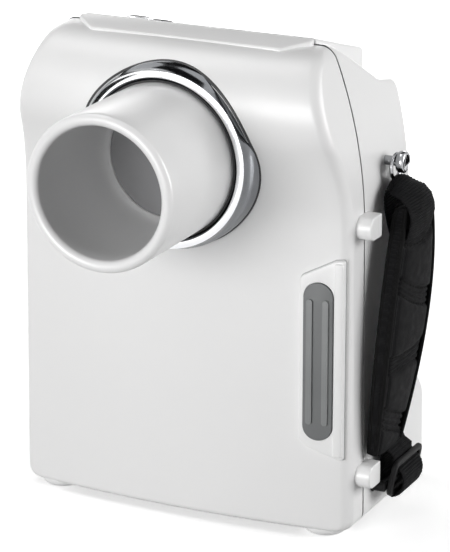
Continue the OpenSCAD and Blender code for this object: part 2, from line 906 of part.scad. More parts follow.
// Glass envelope between the tank's side walls, with the anode and cathode stems through its ends
module tube_envelope() {
    end = tube_l / 2 - touch;
    color("lightcyan") difference() {
        rod_x(envelope_r, -end, end, tube_y, cone_z);
        rod_x(envelope_r - glass_t, -end + glass_t, end - glass_t, tube_y, cone_z);
        rod_x(stem_r + touch, -tube_l, tube_l, tube_y, cone_z);
    }
}

module anode() {
    color("peru") difference() {
        union() {
            rod_x(anode_r, heel_x, tube_l / 2 - anode_end, tube_y, cone_z);
            rod_x(stem_r, 0, tube_l / 2 - touch, tube_y, cone_z);
        }
        // Slanted target face
        translate([heel_x - target_cut[0] / 2, tube_y, cone_z]) rotate([0, 0, 20])
            cube([target_cut[0], target_cut[1], target_cut[1]], center = true);
    }
}

module cathode() {
    color("silver") {
        rod_x(stem_r, touch - tube_l / 2, cup_x - cup_l / 2, tube_y, cone_z);
        rod_x(cup_r, cup_x - cup_l, cup_x, tube_y, cone_z);
    }
}

// Lead-lined funnel between the tank's port and the cone's seat
module collimator() {
    mouth_y = window_y + disc_t;
    color("dimgrey") difference() {
        union() {
            cone_drum(throat_r - touch, mouth_y, tank_front_y - touch);
            cone_drum(throat_r + 4, cone_back_y + touch, tank_front_y - touch);
        }
        about_cone() polygon([
            [0, -tank_front_y - 1],
            [port_r - 2, -tank_front_y - 1],
            [throat_r - 4, -mouth_y + 1],
            [0, -mouth_y + 1]
        ]);
        cone_drum(filter_r + touch, tank_front_y - filter_t - touch, 0);
    }
}

module filter_disc() {
    color("lightgrey") cone_drum(filter_r, tank_front_y - filter_t, tank_front_y - touch);
}

// Core and winding on the tank's floor
module step_up_transformer() {
    floor_z = tank_z + tank_wall + touch;
    mid_y = tank_front_y + tank_d / 2;
    leg = (core[2] - core_slot[1]) / 2;
    color("chocolate") difference() {
        translate([-core[0] / 2, mid_y - core[1] / 2, floor_z]) cube(core);
        for (s = [-1, 1]) translate([s * core[0] * 0.27 - core_slot[0] / 2, mid_y - core[1], floor_z + leg])
            cube([core_slot[0], 2 * core[1], core_slot[1]]);
    }
}

// Upright plate that carries the tank and the drive board, threaded over the upper screw tubes
module chassis_plate() {
    color("lightsteelblue") difference() {
        along_y(tank_back_y + touch, plate_y) union() {
            translate([-plate_upper[0] / 2, shoulder_z]) square(plate_upper);
            translate([-plate_lower[0] / 2, plate_z]) square(plate_lower);
        }
        for (s = [-1, 1]) rod_y(boss_r + touch, -far, far, s * high_boss[0], high_boss[1]);
        tank_screw_holes(screw_r + touch);
    }
}

module chassis_screws() {
    color("silver") for (x = [-tank_screw_x, tank_screw_x], z = [tank_screw_in, tank_h - tank_screw_in])
        translate([x, plate_y + touch, tank_z + z]) rotate([-90, 0, 0]) plain_screw(2, tank_screw_l);
}

// Board with the inverter coils and a capacitor block, on the front of the plate under the tank
module drive_board() {
    y = tank_back_y - board_t - drive_gap;
    color("darkgreen") {
        translate([-drive_w / 2, y, drive_low_z]) cube([drive_w, board_t, drive_h]);
        for (s = [-1, 1], z = [drive_low_z + drive_post_in, drive_low_z + drive_h - drive_post_in])
            rod_y(drive_post_r, tank_back_y - drive_gap - lap, tank_back_y, s * drive_post_x, z);
        for (s = [-1, 1]) rod_y(coil_r, y - coil_h, y + lap, coil_x + s * 1.25 * coil_r, coil_z);
        translate([block_x, y - block[1], block_z]) cube([block[0], block[1] + lap, block[2]]);
    }
}

module battery_pack() {
    color("royalblue") translate([-battery[0] / 2, battery_back_y - battery[1], wall + touch]) cube(battery);
}

module battery_cover() {
    rail_y = battery_back_y + touch;
    color("whitesmoke") difference() {
        union() {
            translate([-cover[0] / 2, bulge_y - cover[1], cover_z]) cube(cover);
            // Rail that holds the pack
            translate([-cover[0] / 4, rail_y, cover_mid_z - 5])
                cube([cover[0] / 2, bulge_y - cover[1] - rail_y + lap, 10]);
        }
        for (s = [-1, 1]) {
            rod_y(screw_r + touch, battery_back_y, far, s * cover_screw_x, cover_mid_z);
            rod_y(head_r + slip, bulge_y - recess, far, s * cover_screw_x, cover_mid_z);
        }
        translate([-cover[0] / 5, bulge_y - 0.6, cover_mid_z - 1.5 * grooves])
            for (k = [0:grooves - 1]) translate([0, 0, 3 * k]) cube([cover[0] * 0.4, 2, 1.2]);
    }
}

module battery_screws() {
    color("silver") for (s = [-1, 1]) translate([s * cover_screw_x, bulge_y - recess + touch, cover_mid_z])
        rotate([-90, 0, 0]) plain_screw(1.2, wall - recess + lug[1] - 1);
}

// Round charging inlet in the left side wall
module charge_socket() {
    mouth_x = -draft_x(socket_z) + socket_sink;
    color("black") difference() {
        union() {
            rod_x(socket_r, mouth_x, mouth_x + socket_l, socket_y, socket_z);
            rod_x(socket_r + 2, mouth_x + wall, mouth_x + wall + 3, socket_y, socket_z);
        }
        rod_x(jack_r, mouth_x - 1, mouth_x + socket_bore_l, socket_y, socket_z);
    }
}

// Chrome stud with a wide head and a neck for the wire ring
module strap_stud() {
    round_r = 1;
    neck_l = stud_x - lean_x(stud_z) + wall + 3;
    color("silver") translate([stud_x, stud_y, stud_z]) rotate([0, 90, 0]) {
        translate([0, 0, -neck_l]) cylinder(r = neck_r, h = neck_l + 1);
        rotate_extrude() polygon([
            [0, 0],
            [stud_r - round_r, 0],
            [stud_r, round_r],
            [stud_r, head_l - round_r],
            [stud_r - 0.3 * round_r, head_l - 0.3 * round_r],
            [stud_r - round_r, head_l],
            [0, head_l]
        ]);
    }
}

module strap_ring() {
    color("silver") translate([ring_x, stud_y, ring_z]) rotate([0, 90, 0])
        rotate_extrude() translate([ring_r, 0]) circle(wire_r, $fn = 24);
}

// Middle line of the padded band for a share u from its top, as [x, z]
function band_turn(u) = arch_a * (1 - u * band_l / arch_l);
function band_fall(u) = (u * band_l - arch_l) / band_drop;
function band_mid(u) = u * band_l < arch_l
    ? [crown_x - arch_r * (1 - cos(band_turn(u))), arch_z + arch_r * sin(band_turn(u))]
    : [crown_x - close_in * band_fall(u) ^ 2.2, arch_z - band_drop * band_fall(u)];
function band_out(u) = turn_left(unit(band_mid(min(1, u + 0.01)) - band_mid(max(0, u - 0.01))));
function band_half(u) = strap_w / 2 * (1 - 0.32 * (1 - u) ^ 8 - 0.42 * u ^ 3);
function band_thick(u) = strap_t * min(1, 0.45 + 5 * u) * (1 - 0.36 * u ^ 4);

// Sewn channels: each crosses the band in a wave, and the band sinks towards it
channels = [0.2, 0.47, 0.74];
function channel(u, v) = max([for (c = channels) exp(-((u - c + 0.05 * v - 0.04 * v * v) / 0.02) ^ 2)]);
function swell(u, v) = (0.64 + 0.36 * (1 - v ^ 4) ^ 0.5) * (1 - 0.3 * channel(u, v) * (1 - v ^ 4));

// A point of the band's skin at share v across it; side is -1 on the hand's side, 1 outside
function band_skin(u, v, side) =
    let (
        t = band_thick(u),
        off = side < 0 ? -t / 2 : t * (swell(u, v) - 0.5),
        p = band_mid(u) + band_out(u) * (off - curl * v * v * (1 - u))
    )
    [p[0], strap_y + v * band_half(u), p[1]];

module strap_pad() {
    rows = 44;
    cols = 12;
    skins = [for (side = [-1, 1], i = [0:rows], j = [0:cols]) band_skin(i / rows, -1 + 2 * j / cols, side)];
    n = (rows + 1) * (cols + 1);
    function at(i, j) = i * (cols + 1) + j;
    faces = [for (i = [0:rows - 1], j = [0:cols - 1]) each [
        [at(i, j), at(i, j + 1), at(i + 1, j + 1)],
        [at(i, j), at(i + 1, j + 1), at(i + 1, j)],
        [n + at(i, j), n + at(i + 1, j + 1), n + at(i, j + 1)],
        [n + at(i, j), n + at(i + 1, j), n + at(i + 1, j + 1)]
    ]];
    sides = [for (i = [0:rows - 1]) each [
        [at(i, 0), at(i + 1, 0), n + at(i + 1, 0)],
        [at(i, 0), n + at(i + 1, 0), n + at(i, 0)],
        [at(i, cols), n + at(i + 1, cols), at(i + 1, cols)],
        [at(i, cols), n + at(i, cols), n + at(i + 1, cols)]
    ]];
    ends = [for (j = [0:cols - 1]) each [
        [at(0, j), n + at(0, j), n + at(0, j + 1)],
        [at(0, j), n + at(0, j + 1), at(0, j + 1)],
        [at(rows, j), n + at(rows, j + 1), n + at(rows, j)],
        [at(rows, j), at(rows, j + 1), n + at(rows, j + 1)]
    ]];
    color("black") polyhedron(points = skins, faces = concat(faces, sides, ends));
}

// A flat band of the webbing's thickness along points in the XZ plane
module web_band(points, w, y) {
    count = len(points);
    along = [for (i = [0:count - 1]) unit(points[min(i + 1, count - 1)] - points[max(i - 1, 0)])];
    left = [for (i = [0:count - 1]) points[i] + turn_left(along[i]) * web_t / 2];
    right = [for (i = [count - 1:-1:0]) points[i] - turn_left(along[i]) * web_t / 2];
    along_y(y - w / 2, y + w / 2) polygon(concat(left, right));
}

// Narrow webbing tab that wraps the wire ring and is sewn to the top of the band
module strap_top_web() {
    z = ring_z - ring_r;
    color("black") web_band(concat(
        [for (a = [215:-20:35]) [ring_x + tab_r * cos(a), z + tab_r * sin(a)]],
        [for (gap = [2, 2 * touch]) band_mid(0) + turn_left(band_out(0)) * gap]
    ), tab_w, stud_y);
}

// A place on the buckle: p out of its plane, q up along it
function on_buckle(p, q) = [
    buckle_x + p * cos(buckle_tilt) + q * sin(buckle_tilt),
    buckle_z - p * sin(buckle_tilt) + q * cos(buckle_tilt)
];

// Webbing from the band's lower end round the strap bar and back up through the buckle
module strap_low_web() {
    bar_side = bar_x - bar_loop_r;
    rise = buckle_t / 2 + web_t / 2 + 0.2;
    over = [[rise, -weave], [rise + 0.2, 0], [rise, weave], [-1.2, 2 * weave]];
    under = [[-rise - 0.4, buckle_step - 1], [-rise - 0.6, buckle_step + 3]];
    woven = concat(over, under);
    color("black") difference() {
        web_band(concat(
            [[band_mid(1)[0], band_low_z - 4 * touch]],
            [[bar_side + 1, bar_z + web_ease], [bar_side, bar_z + web_turn]],
            [for (a = [180:20:360]) [bar_x + bar_loop_r * cos(a), bar_z + bar_loop_r * sin(a)]],
            [for (w = woven) on_buckle(w[0], w[1])]
        ), web_w, strap_y);
        buckle_frame(touch);
    }
}

module buckle_frame(grow) {
    frame = [2 * buckle_step + buckle_bar, web_w + 7];
    slot = [buckle_step - buckle_bar, web_w + 1];
    translate([buckle_x, strap_y, buckle_z]) rotate([0, buckle_tilt + 90, 0])
        linear_extrude(buckle_t + 2 * grow, center = true) difference() {
            square(frame + [2, 2] * grow, center = true);
            for (s = [-1, 1]) translate([s * buckle_step / 2, 0]) square(slot - [2, 2] * grow, center = true);
        }
}

// Flat three-bar frame that the webbing is threaded through
module strap_buckle() { color("black") buckle_frame(0); }

// Bar on two pegs in the side wall
module strap_bar() {
    color("dimgrey") {
        rod_y(bar_r, strap_y - peg_span, strap_y + peg_span, bar_x, bar_z);
        for (s = [-1, 1]) rod_x(peg_r, half_w - peg_deep, bar_x + bar_r + 0.4, strap_y + s * peg_span, bar_z);
    }
}

front_shell();
rear_shell();
shell_screws();
cone_bezel();
cone_seal();
cone();
cone_window();
grip_plate();
grip_pad();
upper_side_post();
lower_side_post();
feet();
tripod_insert();
display_window();
display_module();
exposure_ring();
exposure_button();
power_button();
mode_key();
minus_key();
plus_key();
store_key();
control_board();
buzzer();
generator_tank();
tube_envelope();
anode();
cathode();
collimator();
filter_disc();
step_up_transformer();
chassis_plate();
chassis_screws();
drive_board();
battery_pack();
battery_cover();
battery_screws();
charge_socket();
strap_stud();
strap_ring();
strap_top_web();
strap_pad();
strap_low_web();
strap_buckle();
strap_bar();
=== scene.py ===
"""Looks of a handheld intraoral X-ray unit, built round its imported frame.

Sizes are in millimetres in the frame's own axes: +Z up, +X towards the hand strap, the cone points to -Y.
"""

import logging
import math
from contextlib import contextmanager
from dataclasses import dataclass, field
from enum import Enum
from typing import Iterable, Iterator, Sequence

import bmesh
import bpy
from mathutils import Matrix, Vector
from mathutils.bvhtree import BVHTree


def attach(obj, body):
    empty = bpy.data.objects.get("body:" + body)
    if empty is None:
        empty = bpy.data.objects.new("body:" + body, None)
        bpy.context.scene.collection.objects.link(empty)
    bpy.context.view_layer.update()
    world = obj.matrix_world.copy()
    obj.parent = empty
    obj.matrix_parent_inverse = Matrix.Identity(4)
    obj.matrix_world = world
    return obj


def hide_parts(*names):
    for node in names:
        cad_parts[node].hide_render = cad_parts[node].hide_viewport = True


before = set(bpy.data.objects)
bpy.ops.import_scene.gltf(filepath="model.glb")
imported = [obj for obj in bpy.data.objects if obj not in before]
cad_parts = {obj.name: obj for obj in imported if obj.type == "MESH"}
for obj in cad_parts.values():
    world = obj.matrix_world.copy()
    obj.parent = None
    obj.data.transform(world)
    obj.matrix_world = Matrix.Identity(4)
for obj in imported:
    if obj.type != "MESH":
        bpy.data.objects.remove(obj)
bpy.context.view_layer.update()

MM = 0.001
CASING = "casing"
SHARP = 35.0  # degrees: a flatter edge is shaded smooth
MERGE = 2e-6  # metres: nearer points become one
SLIVER = 1e-7  # metres: shorter edges are dissolved
TINY = 1e-9  # metres: keeps a division clear of 0
NOISE_MIDDLE = (0.3, 0.7)  # span that holds most of a noise's values
WAVE_RATE = 20.0  # radians that a wave of scale 1 turns through in a metre

Flat = tuple[float, float]
Line = tuple[Flat, ...]
Point = tuple[float, float, float]
Colour = tuple[float, float, float]
Corner = tuple[float, float, float]  # across, up, radius
Seam = tuple[Flat, Flat, Flat]  # (y, z) near the front edge, in the middle and near the back edge
Station = tuple[float, float, float, float, float]  # x, z, width, y, bow
Piece = bpy.types.Object
Socket = bpy.types.NodeSocket

log = logging.getLogger("xray_unit")


def steps_between(low: float, high: float, count: int) -> list[float]:
    """Returns count + 1 even steps from low to high."""
    return [low + (high - low) * k / count for k in range(count + 1)]


def quarter_turn(steps: int) -> list[float]:
    """Returns the angles of even steps through a quarter turn, in radians."""
    return steps_between(0, math.pi / 2, steps)


def full_turn(steps: int) -> list[float]:
    """Returns the angles of even steps once round, in radians, without the last."""
    return [2 * math.pi * k / steps for k in range(steps)]


def about(a: float, b: float, line: Sequence[Flat]) -> list[Flat]:
    """Returns the points that lie at some steps from one place."""
    return [(a + p, b + q) for p, q in line]


def rectangle(half_a: float, half_b: float, radius: float = 0.0) -> list[Corner]:
    """Returns the corners of a rectangle about the origin, with one radius."""
    return [(a * half_a, b * half_b, radius) for a, b in ((-1, -1), (1, -1), (1, 1), (-1, 1))]


def through(points: Sequence[Flat], at: float) -> float:
    """Follows the smooth curve through some points.

    Args:
        points: Points as (place, height).
        at: Place to look at.

    Returns:
        The curve's height there.
    """
    total = 0.0
    for k, (here, height) in enumerate(points):
        for m, (other, _) in enumerate(points):
            height *= (at - other) / (here - other) if m != k else 1.0
        total += height
    return total


def quads(rows: int, cols: int, wrap_rows: bool = False, wrap_cols: bool = False) -> Iterator[tuple[int, ...]]:
    """Gives the faces of a grid of points that is stored row by row.

    Args:
        rows: Number of rows of points.
        cols: Number of points in a row.
        wrap_rows: Whether the last row joins the first.
        wrap_cols: Whether each row is a closed loop.

    Returns:
        Faces as indices into the points.
    """
    for i in range(rows if wrap_rows else rows - 1):
        for j in range(cols if wrap_cols else cols - 1):
            below, above = i * cols, (i + 1) % rows * cols
            after = (j + 1) % cols
            yield below + j, below + after, above + after, above + j


def rounded(corners: Sequence[Corner], steps: int = 6, closed: bool = True) -> list[Flat]:
    """Rounds the corners of an outline.

    Args:
        corners: Corners as (across, up, radius).
        steps: Steps in each round.
        closed: Whether the outline is a loop; the ends of an open one stay.

    Returns:
        Points of the rounded outline.
    """
    made: list[Flat] = []
    count = len(corners)
    for k, (a, b, radius) in enumerate(corners):
        if radius <= 0 or (not closed and k in (0, count - 1)):
            made.append((a, b))
            continue
        here = Vector((a, b))
        to_last = (Vector(corners[k - 1][:2]) - here).normalized()
        to_next = (Vector(corners[(k + 1) % count][:2]) - here).normalized()
        half = to_last.angle(to_next) / 2
        middle = here + (to_last + to_next).normalized() * radius / math.sin(half)
        start = here + to_last * radius / math.tan(half) - middle
        end = here + to_next * radius / math.tan(half) - middle
        turn = start.angle_signed(end)
        for t in steps_between(0, -turn, steps):
            made.append((
                middle.x + start.x * math.cos(t) - start.y * math.sin(t),
                middle.y + start.x * math.sin(t) + start.y * math.cos(t),
            ))
    return made


def stadium(width: float, height: float, steps: int = 16) -> list[Flat]:
    """Returns the outline of a bar with round ends, upright where height is the longer side."""
    nearly_round = 0.999 * min(width, height) / 2
    return rounded(rectangle(width / 2, height / 2, nearly_round), steps)


@dataclass(frozen=True)
class Placement:
    """Axes of a piece's own: two across it and one out of it."""

    origin: Point
    across: Point = (1.0, 0.0, 0.0)
    along: Point = (0.0, 0.0, 1.0)
    out: Point = (0.0, -1.0, 0.0)

    def point(self, a: float, b: float, c: float) -> Point:
        """Carries a place into the frame.

        Args:
            a: How far across.
            b: How far along.
            c: How far out.

        Returns:
            The place in the frame.
        """
        return tuple(
            o + a * x + b * y + c * z for o, x, y, z in zip(self.origin, self.across, self.along, self.out)
        )


class Facing(Enum):
    """Sides of the unit that a piece can look out from, as the axes of its placement."""

    FRONT = ((1.0, 0.0, 0.0), (0.0, 0.0, 1.0), (0.0, -1.0, 0.0))
    REAR = ((-1.0, 0.0, 0.0), (0.0, 0.0, 1.0), (0.0, 1.0, 0.0))
    RIGHT = ((0.0, 1.0, 0.0), (0.0, 0.0, 1.0), (1.0, 0.0, 0.0))
    LEFT = ((0.0, -1.0, 0.0), (0.0, 0.0, 1.0), (-1.0, 0.0, 0.0))
    DOWN = ((1.0, 0.0, 0.0), (0.0, -1.0, 0.0), (0.0, 0.0, -1.0))

    def at(self, x: float, y: float, z: float) -> Placement:
        """Returns a placement that looks this way from a point."""
        return Placement((x, y, z), *self.value)


@contextmanager
def editing(made: Piece) -> Iterator[bmesh.types.BMesh]:
    """Opens a piece's mesh for an edit and writes it back afterwards.

    Args:
        made: Piece to edit.

    Returns:
        The open mesh, for a with statement.
    """
    work = bmesh.new()
    work.from_mesh(made.data)
    yield work
    work.to_mesh(made.data)
    work.free()


def shade(made: Piece, sharp: float = SHARP) -> Piece:
    """Shades a piece smooth apart from its sharp edges.

    Args:
        made: Piece to shade.
        sharp: Angle in degrees over which an edge stays sharp.

    Returns:
        The same piece.
    """
    made.data.shade_smooth()
    made.data.set_sharp_from_angle(angle=math.radians(sharp))
    return made


def tidy(made: Piece, sharp: float = SHARP, closed: bool = True) -> Piece:
    """Merges doubled points, turns faces outwards and shades smooth apart from sharp edges.

    Args:
        made: Piece to tidy.
        sharp: Angle in degrees over which an edge stays sharp.
        closed: Whether the piece is a closed solid, whose faces can be turned outwards.

    Returns:
        The same piece.
    """
    with editing(made) as work:
        bmesh.ops.remove_doubles(work, verts=work.verts, dist=MERGE)
        bmesh.ops.dissolve_degenerate(work, edges=work.edges, dist=SLIVER)
        if closed:
            bmesh.ops.recalc_face_normals(work, faces=work.faces)
    return shade(made, sharp)


def piece(name: str, points: Iterable[Point], faces: Iterable[Sequence[int]], closed: bool = True) -> Piece:
    """Makes a piece from points in millimetres.

    Args:
        name: Name of the piece.
        points: Places of its vertices.
        faces: Faces as indices into the points.
        closed: Whether it is a closed solid.

    Returns:
        The new piece.
    """
    mesh = bpy.data.meshes.new(name)
    mesh.from_pydata([Vector(p) * MM for p in points], [], [tuple(f) for f in faces])
    made = bpy.data.objects.new(name, mesh)
    bpy.context.scene.collection.objects.link(made)
    return tidy(made, closed=closed)


def settle_modifiers(made: Piece, sharp: float = SHARP) -> Piece:
    """Applies a piece's modifiers and shades it again.

    Args:
        made: Piece to settle.
        sharp: Angle in degrees over which an edge stays sharp.

    Returns:
        The same piece.
    """
    graph = bpy.context.evaluated_depsgraph_get()
    solid = bpy.data.meshes.new_from_object(made.evaluated_get(graph))
    made.modifiers.clear()
    made.data = solid
    return tidy(made, sharp)


def soften(made: Piece, width: float, steps: int = 3) -> Piece:
    """Rounds every sharp edge.

    Args:
        made: Piece to soften.
        width: Width of the round.
        steps: Faces across the round.

    Returns:
        The same piece.
    """
    edge = made.modifiers.new("soft_edge", "BEVEL")
    edge.width = width * MM
    edge.segments = steps
    edge.limit_method = "ANGLE"
    edge.angle_limit = math.radians(SHARP)
    return settle_modifiers(made)


def join(made: Piece, *others: Piece) -> Piece:
    """Puts other pieces into a piece's mesh and removes them.

    Args:
        made: Piece that stays.
        others: Pieces that go into it.

    Returns:
        The joined piece.
    """
    with editing(made) as work:
        for part in others:
            work.from_mesh(part.data)
    for part in others:
        bpy.data.objects.remove(part)
    return shade(made)


def cut(made: Piece, *cutters: Piece) -> Piece:
    """Takes solids out of a piece.

    Args:
        made: Piece to cut.
        cutters: Solids that lie clear of each other.

    Returns:
        The same piece.
    """
    tool = join(*cutters)
    hollow = made.modifiers.new("cut", "BOOLEAN")
    hollow.operation = "DIFFERENCE"
    hollow.solver = "EXACT"
    hollow.object = tool
    settle_modifiers(made)
    bpy.data.objects.remove(tool)
    return made


def lathe(name: str, profile: Sequence[Flat], place: Placement, closed: bool = False, steps: int = 96) -> Piece:
    """Turns a profile about a placement's out axis.

    Args:
        name: Name of the piece.
        profile: Points as (radius, height).
        place: Where the axis stands.
        closed: Whether the profile is a loop that stays clear of the axis.
        steps: Steps round the axis.

    Returns:
        The turned piece.
    """
    count = len(profile)
    points = [place.point(r * math.cos(t), r * math.sin(t), h) for t in full_turn(steps) for r, h in profile]
    faces = list(quads(steps, count, wrap_rows=True, wrap_cols=closed))
    for k in () if closed else (0, count - 1):
        if profile[k][0] > 0:
            faces.append(tuple(row * count + k for row in range(steps)))
    return piece(name, points, faces)


def drill(name: str, r: float, low: float, high: float, place: Placement, steps: int = 48) -> Piece:
    """Returns a rod from low to high along a placement's out axis, to cut a round hole with."""
    return lathe(name, [(r, low), (r, high)], place, steps=steps)


def prism(name: str, outline: Sequence[Flat], low: float, high: float, place: Placement) -> Piece:
    """Runs an outline out of a placement from low to high.

    Args:
        name: Name of the piece.
        outline: Points across and along.
        low: Height of the near end.
        high: Height of the far end.
        place: Where the outline lies.

    Returns:
        The solid.
    """
    count = len(outline)
    points = [place.point(a, b, c) for c in (low, high) for a, b in outline]
    faces = [tuple(range(count)), tuple(range(count, 2 * count)), *quads(2, count, wrap_cols=True)]
    return piece(name, points, faces)


def sweep(name: str, path: Sequence[Point], section: Sequence[Flat], up: Point, closed: bool = False) -> Piece:
    """Runs a closed section along a path.

    Args:
        name: Name of the piece.
        path: Points of the middle line.
        section: Points as (sideways, up).
        up: Direction that the section's up side keeps to.
        closed: Whether the path is a loop.

    Returns:
        The swept piece.
    """
    count, last = len(path), len(path) - 1
    line = [Vector(p) for p in path]
    points: list[Point] = []
    for k, here in enumerate(line):
        before = line[k - 1] if k or closed else here
        after = line[(k + 1) % count] if k < last or closed else here
        way = (after - before).normalized()
        side = way.cross(Vector(up)).normalized()
        rise = side.cross(way)
        points += [tuple(here + side * a + rise * b) for a, b in section]
    faces = list(quads(count, len(section), wrap_rows=closed, wrap_cols=True))
    if not closed:
        faces += [tuple(range(len(section))), tuple(last * len(section) + j for j in range(len(section)))]
    return piece(name, points, faces)


def oval(width: float, height: float, steps: int = 12) -> list[Flat]:
    """Returns the points of an oval section."""
    return [(width / 2 * math.cos(t), height / 2 * math.sin(t)) for t in full_turn(steps)]


def combine(tree: bpy.types.NodeTree, operation: str, first: Socket, second: Socket) -> Socket:
    """Adds a math node on two sockets.

    Args:
        tree: Where the node goes.
        operation: What it does with the two values.
        first: First value.
        second: Second value.

    Returns:
        The result's socket.
    """
    node = tree.nodes.new("ShaderNodeMath")
    node.operation = operation
    for value, socket in zip((first, second), node.inputs):
        tree.links.new(value, socket)
    return node.outputs["Value"]


class Recipe:
    """A material in the making, with short ways to add its nodes."""

    def __init__(self, name: str) -> None:
        """Starts a material with one shader.

        Args:
            name: Name of the material.
        """
        self.material = bpy.data.materials.new(name)
        self.material.use_nodes = True
        self.tree = self.material.node_tree
        self.shader = self.tree.nodes["Principled BSDF"]
        self.where = self.tree.nodes.new("ShaderNodeTexCoord").outputs["Object"]

    def add(self, kind: str, **inputs: object) -> bpy.types.Node:
        """Adds a node and sets or links its inputs.

        Args:
            kind: Node type without its common prefix.
            inputs: Values or sockets by input name, with _ for a space.

        Returns:
            The new node.
        """
        node = self.tree.nodes.new("ShaderNode" + kind)
        for key, value in inputs.items():
            socket = node.inputs[key.replace("_", " ")]
            if isinstance(value, Socket):
                self.tree.links.new(value, socket)
            else:
                socket.default_value = value
        return node

    def set(self, **inputs: object) -> None:
        """Sets constant values on the shader's own sockets."""
        for key, value in inputs.items():
            self.shader.inputs[key.replace("_", " ")].default_value = value

    def link(self, socket: Socket, name: str) -> None:
        """Links a socket to one of the shader's inputs."""
        self.tree.links.new(socket, self.shader.inputs[name])

    def grain(self, size: float, detail: float = 2.0, stretch: Point = (1.0, 1.0, 1.0)) -> Socket:
        """Adds a noise.

        Args:
            size: Size of its grains.
            detail: Levels of finer grain.
            stretch: Frequency along each axis.

        Returns:
            The noise's value socket.
        """
        where = self.add("Mapping", Vector=self.where, Scale=stretch).outputs["Vector"]
        return self.add("TexNoise", Vector=where, Scale=1 / (size * MM), Detail=detail).outputs["Fac"]

    def bands(self, pitch: float, direction: str) -> Socket:
        """Adds even bands.

        Args:
            pitch: Distance from band to band.
            direction: Axis along which they follow each other.

        Returns:
            The bands' value socket.
        """
        node = self.add("TexWave", Vector=self.where, Scale=2 * math.pi / (WAVE_RATE * pitch * MM))
        node.bands_direction = direction
        return node.outputs["Fac"]

    def spread(self, value: Socket, before: Flat, after: Flat) -> Socket:
        """Carries a value from one span to another.

        Args:
            value: Socket of the value.
            before: Span that it comes from.
            after: Span that it goes to.

        Returns:
            The new value's socket.
        """
        node = self.add("MapRange", Value=value)
        for key, number in zip(("From Min", "From Max", "To Min", "To Max"), (*before, *after)):
            node.inputs[key].default_value = number
        return node.outputs["Result"]

    def between(self, value: Socket, low: float, high: float) -> Socket:
        """Returns the value spread from low to high over the usual middle of a noise."""
        return self.spread(value, NOISE_MIDDLE, (low, high))

    def tones(self, value: Socket, low: Colour, high: Colour) -> Socket:
        """Adds a colour that follows a value.

        Args:
            value: Socket of the value.
            low: Colour at its low end.
            high: Colour at its high end.

        Returns:
            The colour's socket.
        """
        node = self.add("ValToRGB", Fac=value)
        for stop, place, tone in zip(node.color_ramp.elements, NOISE_MIDDLE, (low, high)):
            stop.position = place
            stop.color = (*tone, 1.0)
        return node.outputs["Color"]

    def relief(self, height: Socket, depth: float) -> None:
        """Raises the surface by a depth where the height is 1."""
        bump = self.add("Bump", Height=height, Distance=depth * MM)
        self.link(bump.outputs["Normal"], "Normal")


@dataclass(frozen=True)
class Moulded:
    """Moulded plastic, rubber or glass, with a faint grain, slight clouds and an uneven gloss."""

    name: str
    colour: Colour
    deep: Colour
    gloss: Flat = (0.28, 0.36)
    grain: float = 0.5
    depth: float = 0.004
    coat: float = 0.0
    clear: float = 0.0
    shine: float = 0.5
    coat_gloss: float = 0.36
    cloud: float = 22.0
    patch: float = 6.0

    def material(self) -> bpy.types.Material:
        """Makes the finish.

        Returns:
            Its material.
        """
        made = Recipe(self.name)
        made.link(made.tones(made.grain(self.cloud, detail=4), self.deep, self.colour), "Base Color")
        made.link(made.between(made.grain(self.patch, detail=3), *self.gloss), "Roughness")
        made.relief(made.grain(self.grain), self.depth)
        made.set(Coat_Weight=self.coat, Coat_Roughness=self.coat_gloss)
        made.set(Transmission_Weight=self.clear, Specular_IOR_Level=self.shine)
        return made.material


class Brushing(Enum):
    """Direction of the fine lines in a metal, as frequencies along the axes."""

    NONE = (1.0, 1.0, 1.0)
    ALONG_X = (0.04, 1.0, 1.0)
    ALONG_Z = (1.0, 1.0, 0.04)


@dataclass(frozen=True)
class Metal:
    """Bare or plated metal with fine lines."""

    name: str
    colour: Colour
    deep: Colour
    gloss: Flat = (0.05, 0.1)
    grain: float = 0.3
    depth: float = 0.0006
    brushing: Brushing = Brushing.NONE
    cloud: float = 9.0

    def material(self) -> bpy.types.Material:
        """Makes the finish.

        Returns:
            Its material.
        """
        made = Recipe(self.name)
        lines = made.grain(self.grain, detail=3, stretch=self.brushing.value)
        made.link(made.tones(made.grain(self.cloud, detail=3), self.deep, self.colour), "Base Color")
        made.link(made.between(lines, *self.gloss), "Roughness")
        made.relief(lines, self.depth)
        made.set(Metallic=1.0)
        return made.material


@dataclass(frozen=True)
class Woven:
    """Woven fabric: crossing threads with a dusty sheen."""

    name: str
    thread: Colour
    gap: Colour
    pitch: float = 0.7
    depth: float = 0.12
    gloss: Flat = (0.62, 0.8)
    sheen: float = 0.01
    sheen_gloss: float = 0.5
    shine: float = 0.05
    fuzz: float = 0.35
    patch: float = 4.0

    def material(self) -> bpy.types.Material:
        """Makes the finish.

        Returns:
            Its material.
        """
        made = Recipe(self.name)
        weave = combine(made.tree, "MULTIPLY", made.bands(self.pitch, "Y"), made.bands(self.pitch, "Z"))
        cloth = combine(made.tree, "ADD", weave, made.between(made.grain(self.fuzz, detail=3), -0.25, 0.25))
        made.link(made.tones(cloth, self.gap, self.thread), "Base Color")
        made.link(made.between(made.grain(self.patch, detail=3), *self.gloss), "Roughness")
        made.relief(cloth, self.depth)
        made.set(Sheen_Weight=self.sheen, Sheen_Roughness=self.sheen_gloss, Specular_IOR_Level=self.shine)
        return made.material


